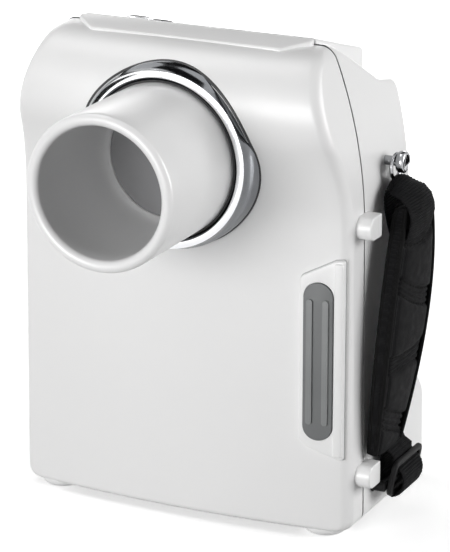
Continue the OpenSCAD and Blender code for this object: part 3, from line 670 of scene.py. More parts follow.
@dataclass(frozen=True)
class Laminate:
    """Circuit board: a mask with tracks that show through it."""

    name: str
    mask: Colour
    track: Colour
    fineness: float = 220.0
    gloss: Flat = (0.3, 0.45)
    depth: float = 0.02
    patch: float = 3.0

    def material(self) -> bpy.types.Material:
        """Makes the finish.

        Returns:
            Its material.
        """
        made = Recipe(self.name)
        tracks = made.add("TexVoronoi", Vector=made.where, Scale=self.fineness)
        tracks.distance = "MANHATTAN"
        tracks.feature = "DISTANCE_TO_EDGE"
        made.link(made.tones(tracks.outputs["Distance"], self.track, self.mask), "Base Color")
        made.link(made.between(made.grain(self.patch), *self.gloss), "Roughness")
        made.relief(tracks.outputs["Distance"], self.depth)
        return made.material


Finish = Moulded | Metal | Woven | Laminate

WHITE_SHELL = Moulded(
    "white_shell", (0.81, 0.808, 0.806), (0.804, 0.803, 0.802), gloss=(0.38, 0.42), grain=1.6,
    depth=0.0004, coat=0.45,
)
WHITE_CONE = Moulded(
    "white_cone", (0.80, 0.80, 0.80), (0.794, 0.794, 0.795), gloss=(0.285, 0.31), grain=1.6, depth=0.0004,
    coat=0.5,
)
# Lighter than the shell's white: painted light that offsets the shade on the small posts, grip plate, feet and
# cover.
LIT_WHITE_TRIM = Moulded(
    "lit_white_trim", (0.86, 0.86, 0.857), (0.85, 0.85, 0.848), gloss=(0.285, 0.31), grain=1.2, depth=0.0006,
    coat=0.3,
)
GREY_RUBBER = Moulded(
    "grey_rubber", (0.138, 0.143, 0.144), (0.118, 0.123, 0.125), gloss=(0.42, 0.52), grain=0.4, depth=0.01,
)
# Lighter copy of the grey rubber for the pad's bars: a painted highlight where the bars catch the light.
PAINTED_LIT_RUBBER = Moulded(
    "painted_lit_rubber", (0.205, 0.211, 0.212), (0.178, 0.184, 0.186), gloss=(0.38, 0.46), grain=0.4,
    depth=0.008,
)
# Grey for the cord round the grip plate: painted shade along the plate's edge.
PAINTED_EDGE_SHADE = Moulded(
    "painted_edge_shade", (0.46, 0.462, 0.464), (0.42, 0.422, 0.424), gloss=(0.4, 0.5), grain=0.4, depth=0.006,
)
GREY_DISC = Moulded(
    "grey_disc", (0.20, 0.20, 0.204), (0.185, 0.185, 0.19), gloss=(0.3, 0.4), grain=0.6, depth=0.004,
)
# Black for the cone's rubber seal ring, and painted shade for the cord in the parting groove and the line round the
# bezel.
BLACK_SEAL_AND_SHADE = Moulded(
    "black_seal_and_painted_shade", (0.022, 0.022, 0.024), (0.015, 0.015, 0.016), gloss=(0.4, 0.5), grain=0.4, depth=0.006,
)
BLACK_PLASTIC = Moulded(
    "black_plastic", (0.014, 0.014, 0.0145), (0.010, 0.010, 0.0105), gloss=(0.5, 0.6), grain=0.35,
    depth=0.012, shine=0.12,
)
DARK_BUTTON = Moulded(
    "dark_button", (0.03, 0.03, 0.032), (0.022, 0.022, 0.024), gloss=(0.3, 0.4), grain=0.4, depth=0.006,
)
GREY_KEY = Moulded(
    "grey_key", (0.21, 0.22, 0.23), (0.18, 0.19, 0.2), gloss=(0.42, 0.52), grain=0.4, depth=0.008,
)
DARK_GLASS = Moulded(
    "dark_glass", (0.012, 0.013, 0.016), (0.008, 0.009, 0.012), gloss=(0.04, 0.08), grain=3.0,
    depth=0.0004, coat=0.6,
)
CLEAR_GLASS = Moulded(
    "clear_glass", (0.85, 0.9, 0.9), (0.8, 0.86, 0.87), gloss=(0.02, 0.06), grain=3.0, depth=0.0005,
    clear=0.9,
)
BLUE_WRAP = Moulded(
    "blue_wrap", (0.03, 0.09, 0.32), (0.02, 0.07, 0.26), gloss=(0.25, 0.35), grain=1.2, depth=0.01,
    coat=0.2,
)
BROWN_CORE = Moulded(
    "brown_core", (0.10, 0.055, 0.03), (0.06, 0.035, 0.02), gloss=(0.5, 0.7), grain=0.6, depth=0.03,
)
CHROME = Metal(
    "chrome", (0.76, 0.765, 0.775), (0.73, 0.735, 0.75), gloss=(0.08, 0.12), grain=0.6, depth=0.0002,
)
# Chrome darkened to paint dimmer reflections on the strap stud and its ring.
PAINTED_GREY_CHROME = Metal(
    "painted_grey_chrome", (0.34, 0.345, 0.355), (0.30, 0.305, 0.315), gloss=(0.08, 0.14), grain=0.4, depth=0.0003,
)
# Chrome darkened to paint the dark reflections on the bezel's flank.
PAINTED_DARK_CHROME = Metal(
    "painted_dark_chrome", (0.30, 0.31, 0.325), (0.27, 0.28, 0.295), gloss=(0.1, 0.16), grain=0.5, depth=0.0003,
)
STEEL = Metal("steel", (0.55, 0.55, 0.54), (0.45, 0.45, 0.45), gloss=(0.25, 0.38), grain=0.2, depth=0.002)
ALUMINIUM = Metal(
    "aluminium", (0.72, 0.73, 0.74), (0.64, 0.65, 0.67), gloss=(0.3, 0.45), grain=0.25, depth=0.003,
    brushing=Brushing.ALONG_X,
)
BRASS = Metal("brass", (0.72, 0.52, 0.22), (0.6, 0.42, 0.16), gloss=(0.22, 0.34), grain=0.3, depth=0.002)
COPPER = Metal(
    "copper", (0.72, 0.36, 0.22), (0.6, 0.28, 0.16), gloss=(0.22, 0.36), grain=0.25, depth=0.002,
    brushing=Brushing.ALONG_X,
)
LEAD = Metal(
    "lead", (0.30, 0.31, 0.33), (0.22, 0.23, 0.25), gloss=(0.45, 0.6), grain=0.5, depth=0.006,
    brushing=Brushing.ALONG_Z,
)
BLACK_CLOTH = Woven("black_cloth", (0.013, 0.013, 0.0135), (0.006, 0.006, 0.0065))
BLACK_WEB = Woven("black_web", (0.011, 0.011, 0.0115), (0.005, 0.005, 0.0055), pitch=0.5, depth=0.08)
BLACK_BINDING = Woven("black_binding", (0.010, 0.010, 0.0105), (0.005, 0.005, 0.005), pitch=0.45, depth=0.05)
BLACK_THREAD = Woven("black_thread", (0.016, 0.016, 0.0165), (0.008, 0.008, 0.008), pitch=0.3, depth=0.03)
GREEN_BOARD = Laminate("green_board", (0.02, 0.13, 0.06), (0.05, 0.24, 0.1))


def coat(mesh: bpy.types.Mesh, finish: Finish) -> None:
    """Gives a mesh one finish, which is made on its first use."""
    mesh.materials.clear()
    mesh.materials.append(bpy.data.materials.get(finish.name) or finish.material())


@dataclass(frozen=True)
class Trim:
    """What a piece wears and stands for."""

    finish: Finish
    slot: str
    nodes: tuple[str, ...] = ()
    body: str = CASING


@dataclass
class Assembly:
    """A group of pieces that are built and then dressed."""

    made: list[tuple[Piece, Trim]] = field(default_factory=list, init=False)

    def keep(self, made: Piece, finish: Finish, slot: str, *nodes: str, body: str = CASING) -> Piece:
        """Keeps a piece with its trim.

        Args:
            made: Piece to keep.
            finish: Its finish.
            slot: Material slot; kept in the trim but not used.
            nodes: Nodes that it stands for.
            body: Body that it rides on.

        Returns:
            The same piece.
        """
        self.made.append((made, Trim(finish, slot, nodes, body)))
        return made

    def build(self) -> None:
        """Builds the meshes; each assembly has its own."""
        raise NotImplementedError

    def dress(self) -> None:
        """Gives each kept piece its finish and its body, and hides the nodes that it stands for."""
        for made, trim in self.made:
            coat(made.data, trim.finish)
            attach(made, trim.body)
            if trim.nodes:
                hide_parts(*trim.nodes)
            log.info("%s: %s, %d faces", made.name, trim.finish.name, len(made.data.polygons))


@dataclass(frozen=True)
class CasingShape:
    """Outer form that both shells share."""

    half_w: float = 83.6
    draft: float = 1.4
    lean_z: float = 140.0
    lean_r: float = 208.0
    foot_r: float = 6.0
    shoulder_r: float = 5.0
    top_z: float = 221.0
    bow_r: float = 566.73
    bow_axis_y: float = 524.53
    swell_z: float = 143.0
    hollow_r: float = 72.63
    brow_r: float = 28.0
    brow_back: float = 14.7
    brow_turn: float = 29.8
    groove_front: float = -21.6
    groove_back: float = -20.4
    edge_r: float = 5.0
    sole_r: float = 2.5

    @property
    def brow_z(self) -> float:
        """Height of the brow's middle."""
        return self.top_z - self.brow_r

    @property
    def parting_y(self) -> float:
        """Depth of the parting groove's middle."""
        return (self.groove_front + self.groove_back) / 2

    def half_width(self, z: float) -> float:
        """Follows the side walls with their rounded ends.

        Args:
            z: Height.

        Returns:
            Half the casing's width there.
        """
        wide = self.half_w - self.draft * z / self.lean_z
        if z > self.lean_z:
            wide = self.half_w - self.draft - self.lean_r + math.sqrt(self.lean_r**2 - (z - self.lean_z) ** 2)
        for r, deep in ((self.foot_r, self.foot_r - z), (self.shoulder_r, z - self.top_z + self.shoulder_r)):
            if deep > 0:
                wide -= r - math.sqrt(max(r * r - deep * deep, 0))
        return wide

    def panel_r(self, z: float) -> float:
        """Follows the panel up over its swell and brow.

        Args:
            z: Height.

        Returns:
            Distance from the upright axis that the panel is bowed about.
        """
        if z < self.swell_z:
            return self.bow_r
        if z < self.swell_z + self.hollow_r * math.sin(math.radians(self.brow_turn)):
            return self.bow_r + self.hollow_r - math.sqrt(self.hollow_r**2 - (z - self.swell_z) ** 2)
        return self.bow_r - self.brow_back + math.sqrt(max(self.brow_r**2 - (z - self.brow_z) ** 2, 0))

    def panel_y(self, x: float, z: float) -> float:
        """Returns the depth of the panel's face."""
        return self.bow_axis_y - math.sqrt(self.panel_r(z) ** 2 - x * x)


@dataclass
class Casing(Assembly):
    """Front shell, rear shell with its openings, a dark cord in the parting groove as painted shade, feet and
    battery cover.
    """

    shape: CasingShape = field(default_factory=CasingShape)
    wall: float = 2.4
    cone_z: float = 170.8
    cone_hole_r: float = 41.5
    panel_limit_y: float = -30.0
    front_edge_share: float = 0.8
    rear_edge_share: float = 0.85
    rear_edge_r: float = 6.0
    rear_pitch: float = 3.5
    rear_line: tuple[Corner, ...] = (
        (-20.75, 0.0, 0.0), (54.0, 0.0, 6.0), (54.0, 42.0, 10.0), (34.5, 66.0, 14.0),
        (34.5, 195.3, 6.0), (17.0, 199.0, 12.0), (-16.5, 221.0, 12.0), (-20.75, 221.0, 0.0),
    )
    deck_half: float = 57.5
    deck_z: float = 224.0
    facet_reach: float = 13.0
    facet_splay: float = 11.0
    facet_run: float = 2.8
    facet_zs: Flat = (223.35, 220.9)
    facet_deep: float = 6.0
    shade_cord_size: Flat = (1.8, 1.5)
    seal_deep: float = 1.2
    shade_cord_clear: float = 0.5
    cover_size: Flat = (104.0, 30.0)
    cover_r: float = 2.0
    cover_gap: float = 0.15
    cover_thick: float = 2.6
    cover_z: float = 22.5
    cover_y: float = 54.0
    cover_screw_x: float = 46.0
    cover_cut: Flat = (-5.0, 5.0)
    groove_size: Flat = (41.6, 1.3)
    groove_pitch: float = 3.0
    groove_deep: float = 0.6
    groove_count: int = 6
    recess_deep: float = 1.4
    recess_top: float = 3.0
    screw_r: float = 3.3
    screw_cut: Flat = (-40.0, 60.0)
    screw_holes: Line = ((68.0, 178.0), (-68.0, 178.0), (70.0, 16.0), (-70.0, 16.0))
    inlet_r: float = 5.05
    socket_cut: Flat = (-20.0, 20.0)
    insert_cut: Flat = (-6.0, 6.0)
    socket: Point = (-83.0, 8.0, 44.0)
    foot_x: float = 68.0
    foot_ys: Flat = (-27.2, 38.0)
    foot_half: float = 10.0
    foot_round: float = 3.0
    foot_root: float = 5.0

    def front_rows(self) -> list[float]:
        """Spaces the front shell's rows, close together where it curves.

        Returns:
            Heights of the rows.
        """
        s = self.shape
        turn = math.radians(s.brow_turn)
        low = [s.foot_r * (1 - math.cos(t)) for t in quarter_turn(14)]
        middle = steps_between(s.foot_r, s.swell_z, 44)[1:]
        hollow = [s.swell_z + s.hollow_r * math.sin(t) for t in steps_between(0, turn, 16)][1:]
        brow = [s.brow_z + s.brow_r * math.sin(t) for t in steps_between(-turn, math.pi / 2, 44)][1:]
        return low + middle + hollow + brow

    def front_row(self, z: float) -> list[Point]:
        """Makes a row of the front shell, from the left groove round the panel to the right groove.

        Args:
            z: Height of the row.

        Returns:
            Points of the row.
        """
        s = self.shape
        wide = s.half_width(z)
        r = min(s.edge_r, self.front_edge_share * (s.groove_front - s.panel_y(wide, z)))
        sole = s.sole_r - math.sqrt(s.sole_r**2 - max(s.sole_r - z, 0) ** 2)
        edge = [(wide - r * (1 - math.cos(t)), r * (1 - math.sin(t))) for t in quarter_turn(10)]
        across = [(-x, e) for x, e in edge]
        across += [(x, 0.0) for x in steps_between(r - wide, wide - r, 52)[1:-1]]
        across += list(reversed(edge))
        face = [(x, s.panel_y(x, z) + e + sole, z) for x, e in across]
        left = [(face[0][0], y, z) for y in steps_between(s.groove_front, face[0][1], 4)[:-1]]
        right = [(face[-1][0], y, z) for y in steps_between(face[-1][1], s.groove_front, 4)[1:]]
        return left + face + right

    def rear_row(self, y: float, z: float) -> list[Point]:
        """Makes a row of the rear shell, from the right groove round the back to the left groove.

        Args:
            y: Depth of the back.
            z: Height of the row.

        Returns:
            Points of the row.
        """
        start = self.shape.groove_back
        wide = self.shape.half_width(z)
        r = min(self.rear_edge_r, self.rear_edge_share * (y - start))
        side = [(wide, t) for t in steps_between(start, y - r, 12)]
        bend = [(wide - r * (1 - math.cos(t)), y - r * (1 - math.sin(t))) for t in quarter_turn(8)]
        half = side + bend[1:]
        back = [(x, y) for x in steps_between(wide - r, r - wide, 44)[1:-1]]
        return [(x, t, z) for x, t in half + back + [(-x, t) for x, t in reversed(half)]]

    def skin(self, name: str, rows: list[list[Point]]) -> Piece:
        """Makes the skin of a shell.

        Args:
            name: Name of the piece.
            rows: Rows of points; a face closes the first row and the last.

        Returns:
            The skin.
        """
        count, cols = len(rows), len(rows[0])
        faces = list(quads(count, cols))
        faces += [tuple(reversed(range(cols))), tuple(range((count - 1) * cols, count * cols))]
        return piece(name, [p for row in rows for p in row], faces, closed=False)

    def open_for_cone(self, made: Piece) -> None:
        """Opens the panel in a true circle, which the bezel's skirt covers.

        Args:
            made: Skin of the front shell.
        """
        hole, middle = self.cone_hole_r * MM, Vector((0, self.cone_z * MM))
        limit = self.panel_limit_y * MM
        with editing(made) as work:
            inside = {v for v in work.verts if (v.co.xz - middle).length < hole and v.co.y < limit}
            gone = [f for f in work.faces if all(v in inside for v in f.verts)]
            bmesh.ops.delete(work, geom=gone, context="FACES")
            for v in work.verts:
                out = v.co.xz - middle
                if v.co.y < limit and out.length < hole:
                    x, z = middle + out.normalized() * hole
                    v.co = x, self.shape.panel_y(x / MM, z / MM) * MM, z

    def thicken(self, made: Piece) -> Piece:
        """Gives a shell its wall, inwards.

        Args:
            made: Skin of the shell.

        Returns:
            The same piece.
        """
        wall = made.modifiers.new("wall", "SOLIDIFY")
        wall.thickness = self.wall * MM
        wall.offset = -1
        return settle_modifiers(made, sharp=50)

    def front_shell(self) -> Piece:
        """Makes the front shell.

        Returns:
            The shell, open for the cone.
        """
        made = self.skin("front_shell_skin", [self.front_row(z) for z in self.front_rows()])
        self.open_for_cone(made)
        return self.thicken(made)

    def crown_facet(self) -> Piece:
        """Makes the raised facet that climbs to the deck's front edge.

        Returns:
            The facet.
        """
        back, front = self.shape.groove_front, self.shape.parting_y - self.facet_reach
        wide, narrow = self.deck_half, self.deck_half - self.facet_splay
        upper, lower = self.facet_zs
        top = [(wide, back, self.deck_z), (wide, back - self.facet_run, upper), (narrow, front, lower)]
        ring = top + [(-x, y, z) for x, y, z in reversed(top)]
        points = ring + [(x, y, z - self.facet_deep) for x, y, z in ring]
        count = len(ring)
        faces = [tuple(range(count)), tuple(range(count, 2 * count)), *quads(2, count, wrap_cols=True)]
        return soften(piece("crown_facet", points, faces), width=0.9, steps=4)

    def parting_groove_shade(self) -> Piece:
        """Makes the dark cord that lies deep in the parting groove, painted shade that darkens the groove.

        Returns:
            The cord.
        """
        s = self.shape
        heights = [z for z in self.front_rows() if self.shade_cord_clear < z < s.top_z - self.shade_cord_clear]
        right = [(s.half_width(z) - self.seal_deep, s.parting_y, z) for z in heights]
        path = right + [(-x, y, z) for x, y, z in reversed(right)]
        return sweep("parting_groove_shade", path, oval(*self.shade_cord_size, steps=8), (0, 1, 0), closed=True)

    def rear_shell(self) -> Piece:
        """Makes the rear shell.

        Returns:
            The shell with its openings.
        """
        line = rounded(self.rear_line, 10, closed=False)[1:-1]
        path: list[Flat] = []
        for (y0, z0), (y1, z1) in zip(line, line[1:]):
            count = max(1, round(math.hypot(y1 - y0, z1 - z0) / self.rear_pitch))
            path += [(y0 + (y1 - y0) * k / count, z0 + (z1 - z0) * k / count) for k in range(count)]
        rows = [self.rear_row(y, z) for y, z in path + line[-1:]]
        width, height = (size / 2 + self.cover_gap for size in self.cover_size)
        opening = rounded(rectangle(width, height, self.cover_r + self.cover_gap))
        screws = [
            drill("screw_hole", self.screw_r, *self.screw_cut, Facing.REAR.at(x, 0, z)) for x, z in self.screw_holes
        ]
        return cut(
            self.thicken(self.skin("rear_shell_skin", rows)),
            prism("cover_hole", opening, *self.cover_cut, Facing.REAR.at(0, self.cover_y, self.cover_z)),
            drill("socket_hole", self.inlet_r, *self.socket_cut, Facing.LEFT.at(*self.socket)),
            drill("insert_hole", self.inlet_r, *self.insert_cut, Facing.DOWN.at(0, 0, 0)),
            *screws,
        )

    def battery_cover(self) -> Piece:
        """Makes the battery cover.

        Returns:
            The cover with its finger grooves and screw recesses.
        """
        width, height = self.cover_size
        place = Facing.REAR.at(0, self.cover_y, self.cover_z)
        outline = rounded(rectangle(width / 2, height / 2, self.cover_r))
        made = soften(prism("battery_cover_plate", outline, -self.cover_thick, 0, place), width=0.5)
        half = self.groove_pitch * (self.groove_count - 1) / 2
        cutters: list[Piece] = []
        for k in range(self.groove_count):
            bar = [(a, b + self.groove_pitch * k - half) for a, b in stadium(*self.groove_size, steps=6)]
            cutters.append(prism("groove", bar, -self.groove_deep, self.recess_top, place))
        for x in (-self.cover_screw_x, self.cover_screw_x):
            seat = Facing.REAR.at(x, self.cover_y, self.cover_z)
            cutters.append(drill("recess", self.screw_r, -self.recess_deep, self.recess_top, seat))
        return cut(made, *cutters)

    def foot(self, name: str, x: float, y: float) -> Piece:
        """Makes a foot; the front ones end at the parting groove.

        Args:
            name: Name of the piece.
            x: Its middle across.
            y: Its middle in depth.

        Returns:
            The foot.
        """
        flat, r = self.foot_half - self.foot_round, self.foot_round
        arc = [(flat + r * math.cos(t), r * math.sin(t)) for t in quarter_turn(8)]
        root = [(0, -self.foot_root), (self.foot_half, -self.foot_root)]
        made = lathe(name, [*root, *arc, (0, r)], Facing.DOWN.at(x, y, 0))
        if y < 0:
            edge = Vector((0, self.shape.groove_front * MM, 0))
            with editing(made) as work:
                solid = [*work.verts, *work.edges, *work.faces]
                parted = bmesh.ops.bisect_plane(
                    work, geom=solid, plane_co=edge, plane_no=(0, 1, 0), clear_outer=True
                )
                rim = [e for e in parted["geom_cut"] if isinstance(e, bmesh.types.BMEdge)]
                bmesh.ops.edgeloop_fill(work, edges=rim)
            tidy(made)
        return made

    def build(self) -> None:
        """Builds both shells and what is fixed to their outside."""
        self.keep(self.front_shell(), WHITE_SHELL, "casing_white", "front_shell")
        self.keep(self.crown_facet(), WHITE_SHELL, "casing_white", "front_shell")
        self.keep(self.rear_shell(), WHITE_SHELL, "casing_white", "rear_shell")
        # The black cord in the parting groove is painted shade.
        self.keep(self.parting_groove_shade(), BLACK_SEAL_AND_SHADE, "seal_black")
        self.keep(self.battery_cover(), LIT_WHITE_TRIM, "casing_white", "battery_cover")
        for end, y in zip(("front", "rear"), self.foot_ys):
            for side, x in (("left", -self.foot_x), ("right", self.foot_x)):
                self.keep(self.foot(f"{end}_{side}_foot", x, y), LIT_WHITE_TRIM, "foot_white", "feet")


@dataclass
class AimingCone(Assembly):
    """Open cone with its window disc, the chrome bezel round it and the seal between them.

    The lines are parts of profiles, as steps out from the axis and along it from a named corner.
    """

    shape: CasingShape = field(default_factory=CasingShape)
    axis_z: float = 170.8
    bore_r: float = 29.5
    outer_r: float = 35.1
    rim_reach: float = 116.3
    tube_back: float = 6.5
    bore_end: float = 8.0
    bore_line: Line = ((-0.15, 5.0), (-0.6, 2.8))
    seat_gap: float = 0.15
    seat_line: Line = ((0.25, 0.7), (0.0, 0.1), (0.0, -2.5), (-8.0, -2.5), (-8.0, -6.5))
    lip_reach: float = 58.0
    lip_in_r: float = 36.1
    lip_out_r: float = 40.3
    flange_r: float = 42.5
    skirt_reach: float = 35.5
    flank_line: Line = (
        (0.0, -8.2), (-0.35, -7.2), (-0.9, -6.1), (-1.4, -4.9), (-1.75, -3.6), (-1.95, -2.2),
    )
    crest_line: Line = ((0.15, -1.05), (-0.1, -0.95))
    chamfer_line: Line = ((1.4, -0.5), (1.2, -0.45), (0.1, -1.5), (0.0, -1.8))
    band_in: float = 1.15
    band_out: float = 0.1
    band_thick: float = 1.6
    band_outer_line: Line = ((0.0, -0.85), (-0.08, -0.68), (-0.25, -0.6))
    band_inner_line: Line = ((0.25, 0.0), (0.08, -0.05), (0.0, -0.2))
    gap_shade_section: Line = ((-0.6, -1.5), (0.5, -1.5), (0.5, 0.2), (0.3, 0.5), (-0.6, 0.5))
    seal_deep: float = 4.0
    seal_gap: float = 0.02
    seal_outer_line: Line = ((-0.02, -1.3), (-0.3, -1.0))
    seal_inner_line: Line = ((0.3, -1.0), (0.02, -1.3))
    disc_reach: float = 52.0
    disc_r: float = 27.7
    disc_thick: float = 2.4
    disc_edge: float = 0.4
    turns: int = 192

    def cone(self, place: Placement) -> Piece:
        """Makes the open tube.

        Args:
            place: Where the cone's axis stands.

        Returns:
            The tube with its rounded rim and the disc's seat.
        """
        bead = (self.outer_r - self.bore_r) / 2
        neck, deep = self.rim_reach - bead, self.disc_reach
        rim = [
            (self.bore_r + bead + bead * math.cos(t), neck + bead * math.sin(t))
            for t in steps_between(0, math.pi, 18)
        ]
        outer = [(self.outer_r, h) for h in steps_between(deep - self.tube_back, neck, 12)[:-1]]
        bore = [(self.bore_r, h) for h in steps_between(neck, deep + self.bore_end, 10)[1:]]
        inside = about(self.bore_r, deep, self.bore_line)
        inside += about(self.disc_r + self.seat_gap, deep, self.seat_line)
        return lathe("cone_tube", outer + rim + bore + inside, place, closed=True, steps=160)

    def bezel(self, place: Placement) -> Piece:
        """Makes the bezel's body: a skirt in the panel, a hollow flank and an inner chamfer.

        Args:
            place: Where the cone's axis stands.

        Returns:
            The body.
        """
        reach = self.lip_reach
        profile = [(self.lip_in_r, self.skirt_reach), (self.flange_r, self.skirt_reach)]
        profile += about(self.flange_r, reach, self.flank_line)
        profile += about(self.lip_out_r, reach, self.crest_line)
        profile += about(self.lip_in_r, reach, self.chamfer_line)
        return lathe("bezel_body", profile, place, closed=True, steps=self.turns)

    def lip(self, place: Placement) -> Piece:
        """Makes the bezel's bright band.

        Args:
            place: Where the cone's axis stands.

        Returns:
            The band.
        """
        reach = self.lip_reach
        inner, outer = self.lip_in_r + self.band_in, self.lip_out_r + self.band_out
        profile = [(inner, reach - self.band_thick), (outer, reach - self.band_thick)]
        profile += about(outer, reach, self.band_outer_line)
        profile += about(inner, reach, self.band_inner_line)
        return lathe("bezel_lip", profile, place, closed=True, steps=self.turns)

    def gap_shade_line(self) -> Piece:
        """Makes the thin black line where the bezel meets the bowed panel, painted shade in the gap between them.

        Returns:
            The line.
        """
        points: list[Point] = []
        section = about(self.flange_r, 0, self.gap_shade_section)
        for t in full_turn(self.turns):
            for r, rise in section:
                x, z = r * math.cos(t), self.axis_z + r * math.sin(t)
                points.append((x, self.shape.panel_y(x, z) - rise, z))
        return piece("bezel_gap_shade", points, quads(self.turns, len(section), wrap_rows=True, wrap_cols=True))

    def seal(self, place: Placement) -> Piece:
        """Makes the rubber ring between the bezel and the cone.

        Args:
            place: Where the cone's axis stands.

        Returns:
            The ring.
        """
        reach, gap = self.lip_reach, self.seal_gap
        profile = [(self.outer_r + gap, reach - self.seal_deep), (self.lip_in_r - gap, reach - self.seal_deep)]
        profile += about(self.lip_in_r, reach, self.seal_outer_line)
        profile += about(self.outer_r, reach, self.seal_inner_line)
        return lathe("cone_seal_ring", profile, place, closed=True)

    def disc(self, place: Placement) -> Piece:
        """Makes the window disc with its broken edge.

        Args:
            place: Where the cone's axis stands.

        Returns:
            The disc.
        """
        back, edge = self.disc_reach - self.disc_thick, self.disc_edge
        profile = [
            (0, back), (self.disc_r, back), (self.disc_r, self.disc_reach - edge),
            (self.disc_r - edge, self.disc_reach), (0, self.disc_reach),
        ]
        return lathe("window_disc", profile, place)

    def build(self) -> None:
        """Builds the cone's pieces."""
        place = Facing.FRONT.at(0, 0, self.axis_z)
        self.keep(self.cone(place), WHITE_CONE, "cone_white", "cone")
        # The bezel's body wears the darkened chrome, a painted dark reflection.
        self.keep(self.bezel(place), PAINTED_DARK_CHROME, "bezel_chrome", "cone_bezel")
        self.keep(self.lip(place), CHROME, "bezel_chrome", "cone_bezel")
        # A black line painted as the shade in the gap round the bezel.
        self.keep(self.gap_shade_line(), BLACK_SEAL_AND_SHADE, "seal_black")
        self.keep(self.seal(place), BLACK_SEAL_AND_SHADE, "seal_black", "cone_seal")
        self.keep(self.disc(place), GREY_DISC, "disc_grey", "cone_window")


@dataclass
class Grip(Assembly):
    """Grip plate with its upright rib and the rubber pad let into it."""

    shape: CasingShape = field(default_factory=CasingShape)
    plate: tuple[Corner, ...] = (
        (60.0, 45.0, 2.5), (63.0, 41.5, 2.5), (76.1, 37.0, 0.0), (80.6, 36.0, 1.0),
        (80.6, 130.0, 1.0), (76.1, 129.4, 0.0), (60.0, 121.0, 3.5),
    )
    raise_plate: float = 2.2
    root: float = 1.5
    rib_x: Flat = (76.2, 80.4)
    rib_z: Flat = (37.6, 128.6)
    rib_corner: float = 1.2
    rib_over: float = 1.0
    pad_x: float = 68.95
    pad_z: Flat = (45.0, 119.0)
    pad_w: float = 13.6
    pad_root: float = 1.0
    raise_pad: float = 0.8
    slot_gap: float = 0.5
    slot_deep: float = 1.1
    slot_top: float = 20.0
    bar_w: float = 2.8
    bar_raise: float = 0.9
    bar_root: float = 0.5
    bar_share: float = 0.27
    bar_short: float = 18.0
    shade_cord_size: float = 0.9
    shade_cord_sunk: float = 0.1

    @property
    def pad_h(self) -> float:
        """Height of the pad."""
        return self.pad_z[1] - self.pad_z[0]

    @property
    def pad_top(self) -> float:
        """How far the pad's face stands out of the panel."""
        return self.raise_plate + self.raise_pad

    @property
    def middle(self) -> Placement:
        """Placement at the pad's middle, on the plane y = 0."""
        return Facing.FRONT.at(self.pad_x, 0, sum(self.pad_z) / 2)

    def lay_on_panel(self, made: Piece) -> Piece:
        """Moves a piece from the plane y = 0 onto the bowed panel.

        Args:
            made: Piece to move.

        Returns:
            The same piece.
        """
        for v in made.data.vertices:
            v.co.y += self.shape.panel_y(v.co.x / MM, v.co.z / MM) * MM
        return tidy(made)

    def plate_and_rib(self) -> Piece:
        """Makes the plate with the pad's slot, and the rib at its outer side.

        Returns:
            Both as one piece.
        """
        flat = Facing.FRONT.at(0, 0, 0)
        face = prism("grip_plate_face", rounded(self.plate), -self.root, self.raise_plate, flat)
        hole = stadium(self.pad_w + self.slot_gap, self.pad_h + self.slot_gap)
        slot = prism("pad_slot", hole, self.raise_plate - self.slot_deep, self.slot_top, self.middle)
        (near, far), (low, high) = self.rib_x, self.rib_z
        corners = [(x, z, self.rib_corner) for x, z in ((near, low), (far, low), (far, high), (near, high))]
        rib = prism("grip_rib", rounded(corners), -self.root, self.raise_plate + self.rib_over, flat)
        return join(cut(soften(face, width=0.7, steps=4), slot), soften(rib, width=0.9, steps=4))

    def pad(self) -> Piece:
        """Makes the rubber pad.

        Returns:
            The pad.
        """
        outline = stadium(self.pad_w, self.pad_h)
        made = prism("grip_pad_face", outline, self.raise_plate - self.pad_root, self.pad_top, self.middle)
        return soften(made, width=0.6, steps=4)

    def pad_bars(self) -> Piece:
        """Makes the two upright bars on the pad.

        Returns:
            Both as one piece.
        """
        bars: list[Piece] = []
        low, high = self.pad_top - self.bar_root, self.pad_top + self.bar_raise
        for s in (-1, 1):
            outline = stadium(self.bar_w, self.pad_h - self.bar_short + self.bar_w, 10)
            outline = [(a + s * self.bar_share * self.pad_w, b) for a, b in outline]
            bars.append(soften(prism("pad_ribs", outline, low, high, self.middle), width=0.8, steps=4))
        return join(*bars)

    def seal(self) -> Piece:
        """Returns the thin grey cord round the plate, painted shade along its edge."""
        line = [(x, -self.shade_cord_sunk, z) for x, z in rounded(self.plate)]
        return sweep("plate_edge_shade", line, oval(self.shade_cord_size, self.shade_cord_size, 8), (0, 1, 0), closed=True)

    def build(self) -> None:
        """Builds the plate and the pad."""
        plate, pad, bars, seal = self.plate_and_rib(), self.pad(), self.pad_bars(), self.seal()
        self.keep(self.lay_on_panel(plate), LIT_WHITE_TRIM, "post_white", "grip_plate")
        # The grey cord round the plate is painted edge shade.
        self.keep(self.lay_on_panel(seal), PAINTED_EDGE_SHADE, "grip_grey")
        self.keep(self.lay_on_panel(pad), GREY_RUBBER, "grip_grey", "grip_pad")
        # The bars wear the lighter rubber, a painted highlight.
        self.keep(self.lay_on_panel(bars), PAINTED_LIT_RUBBER, "grip_grey", "grip_pad")


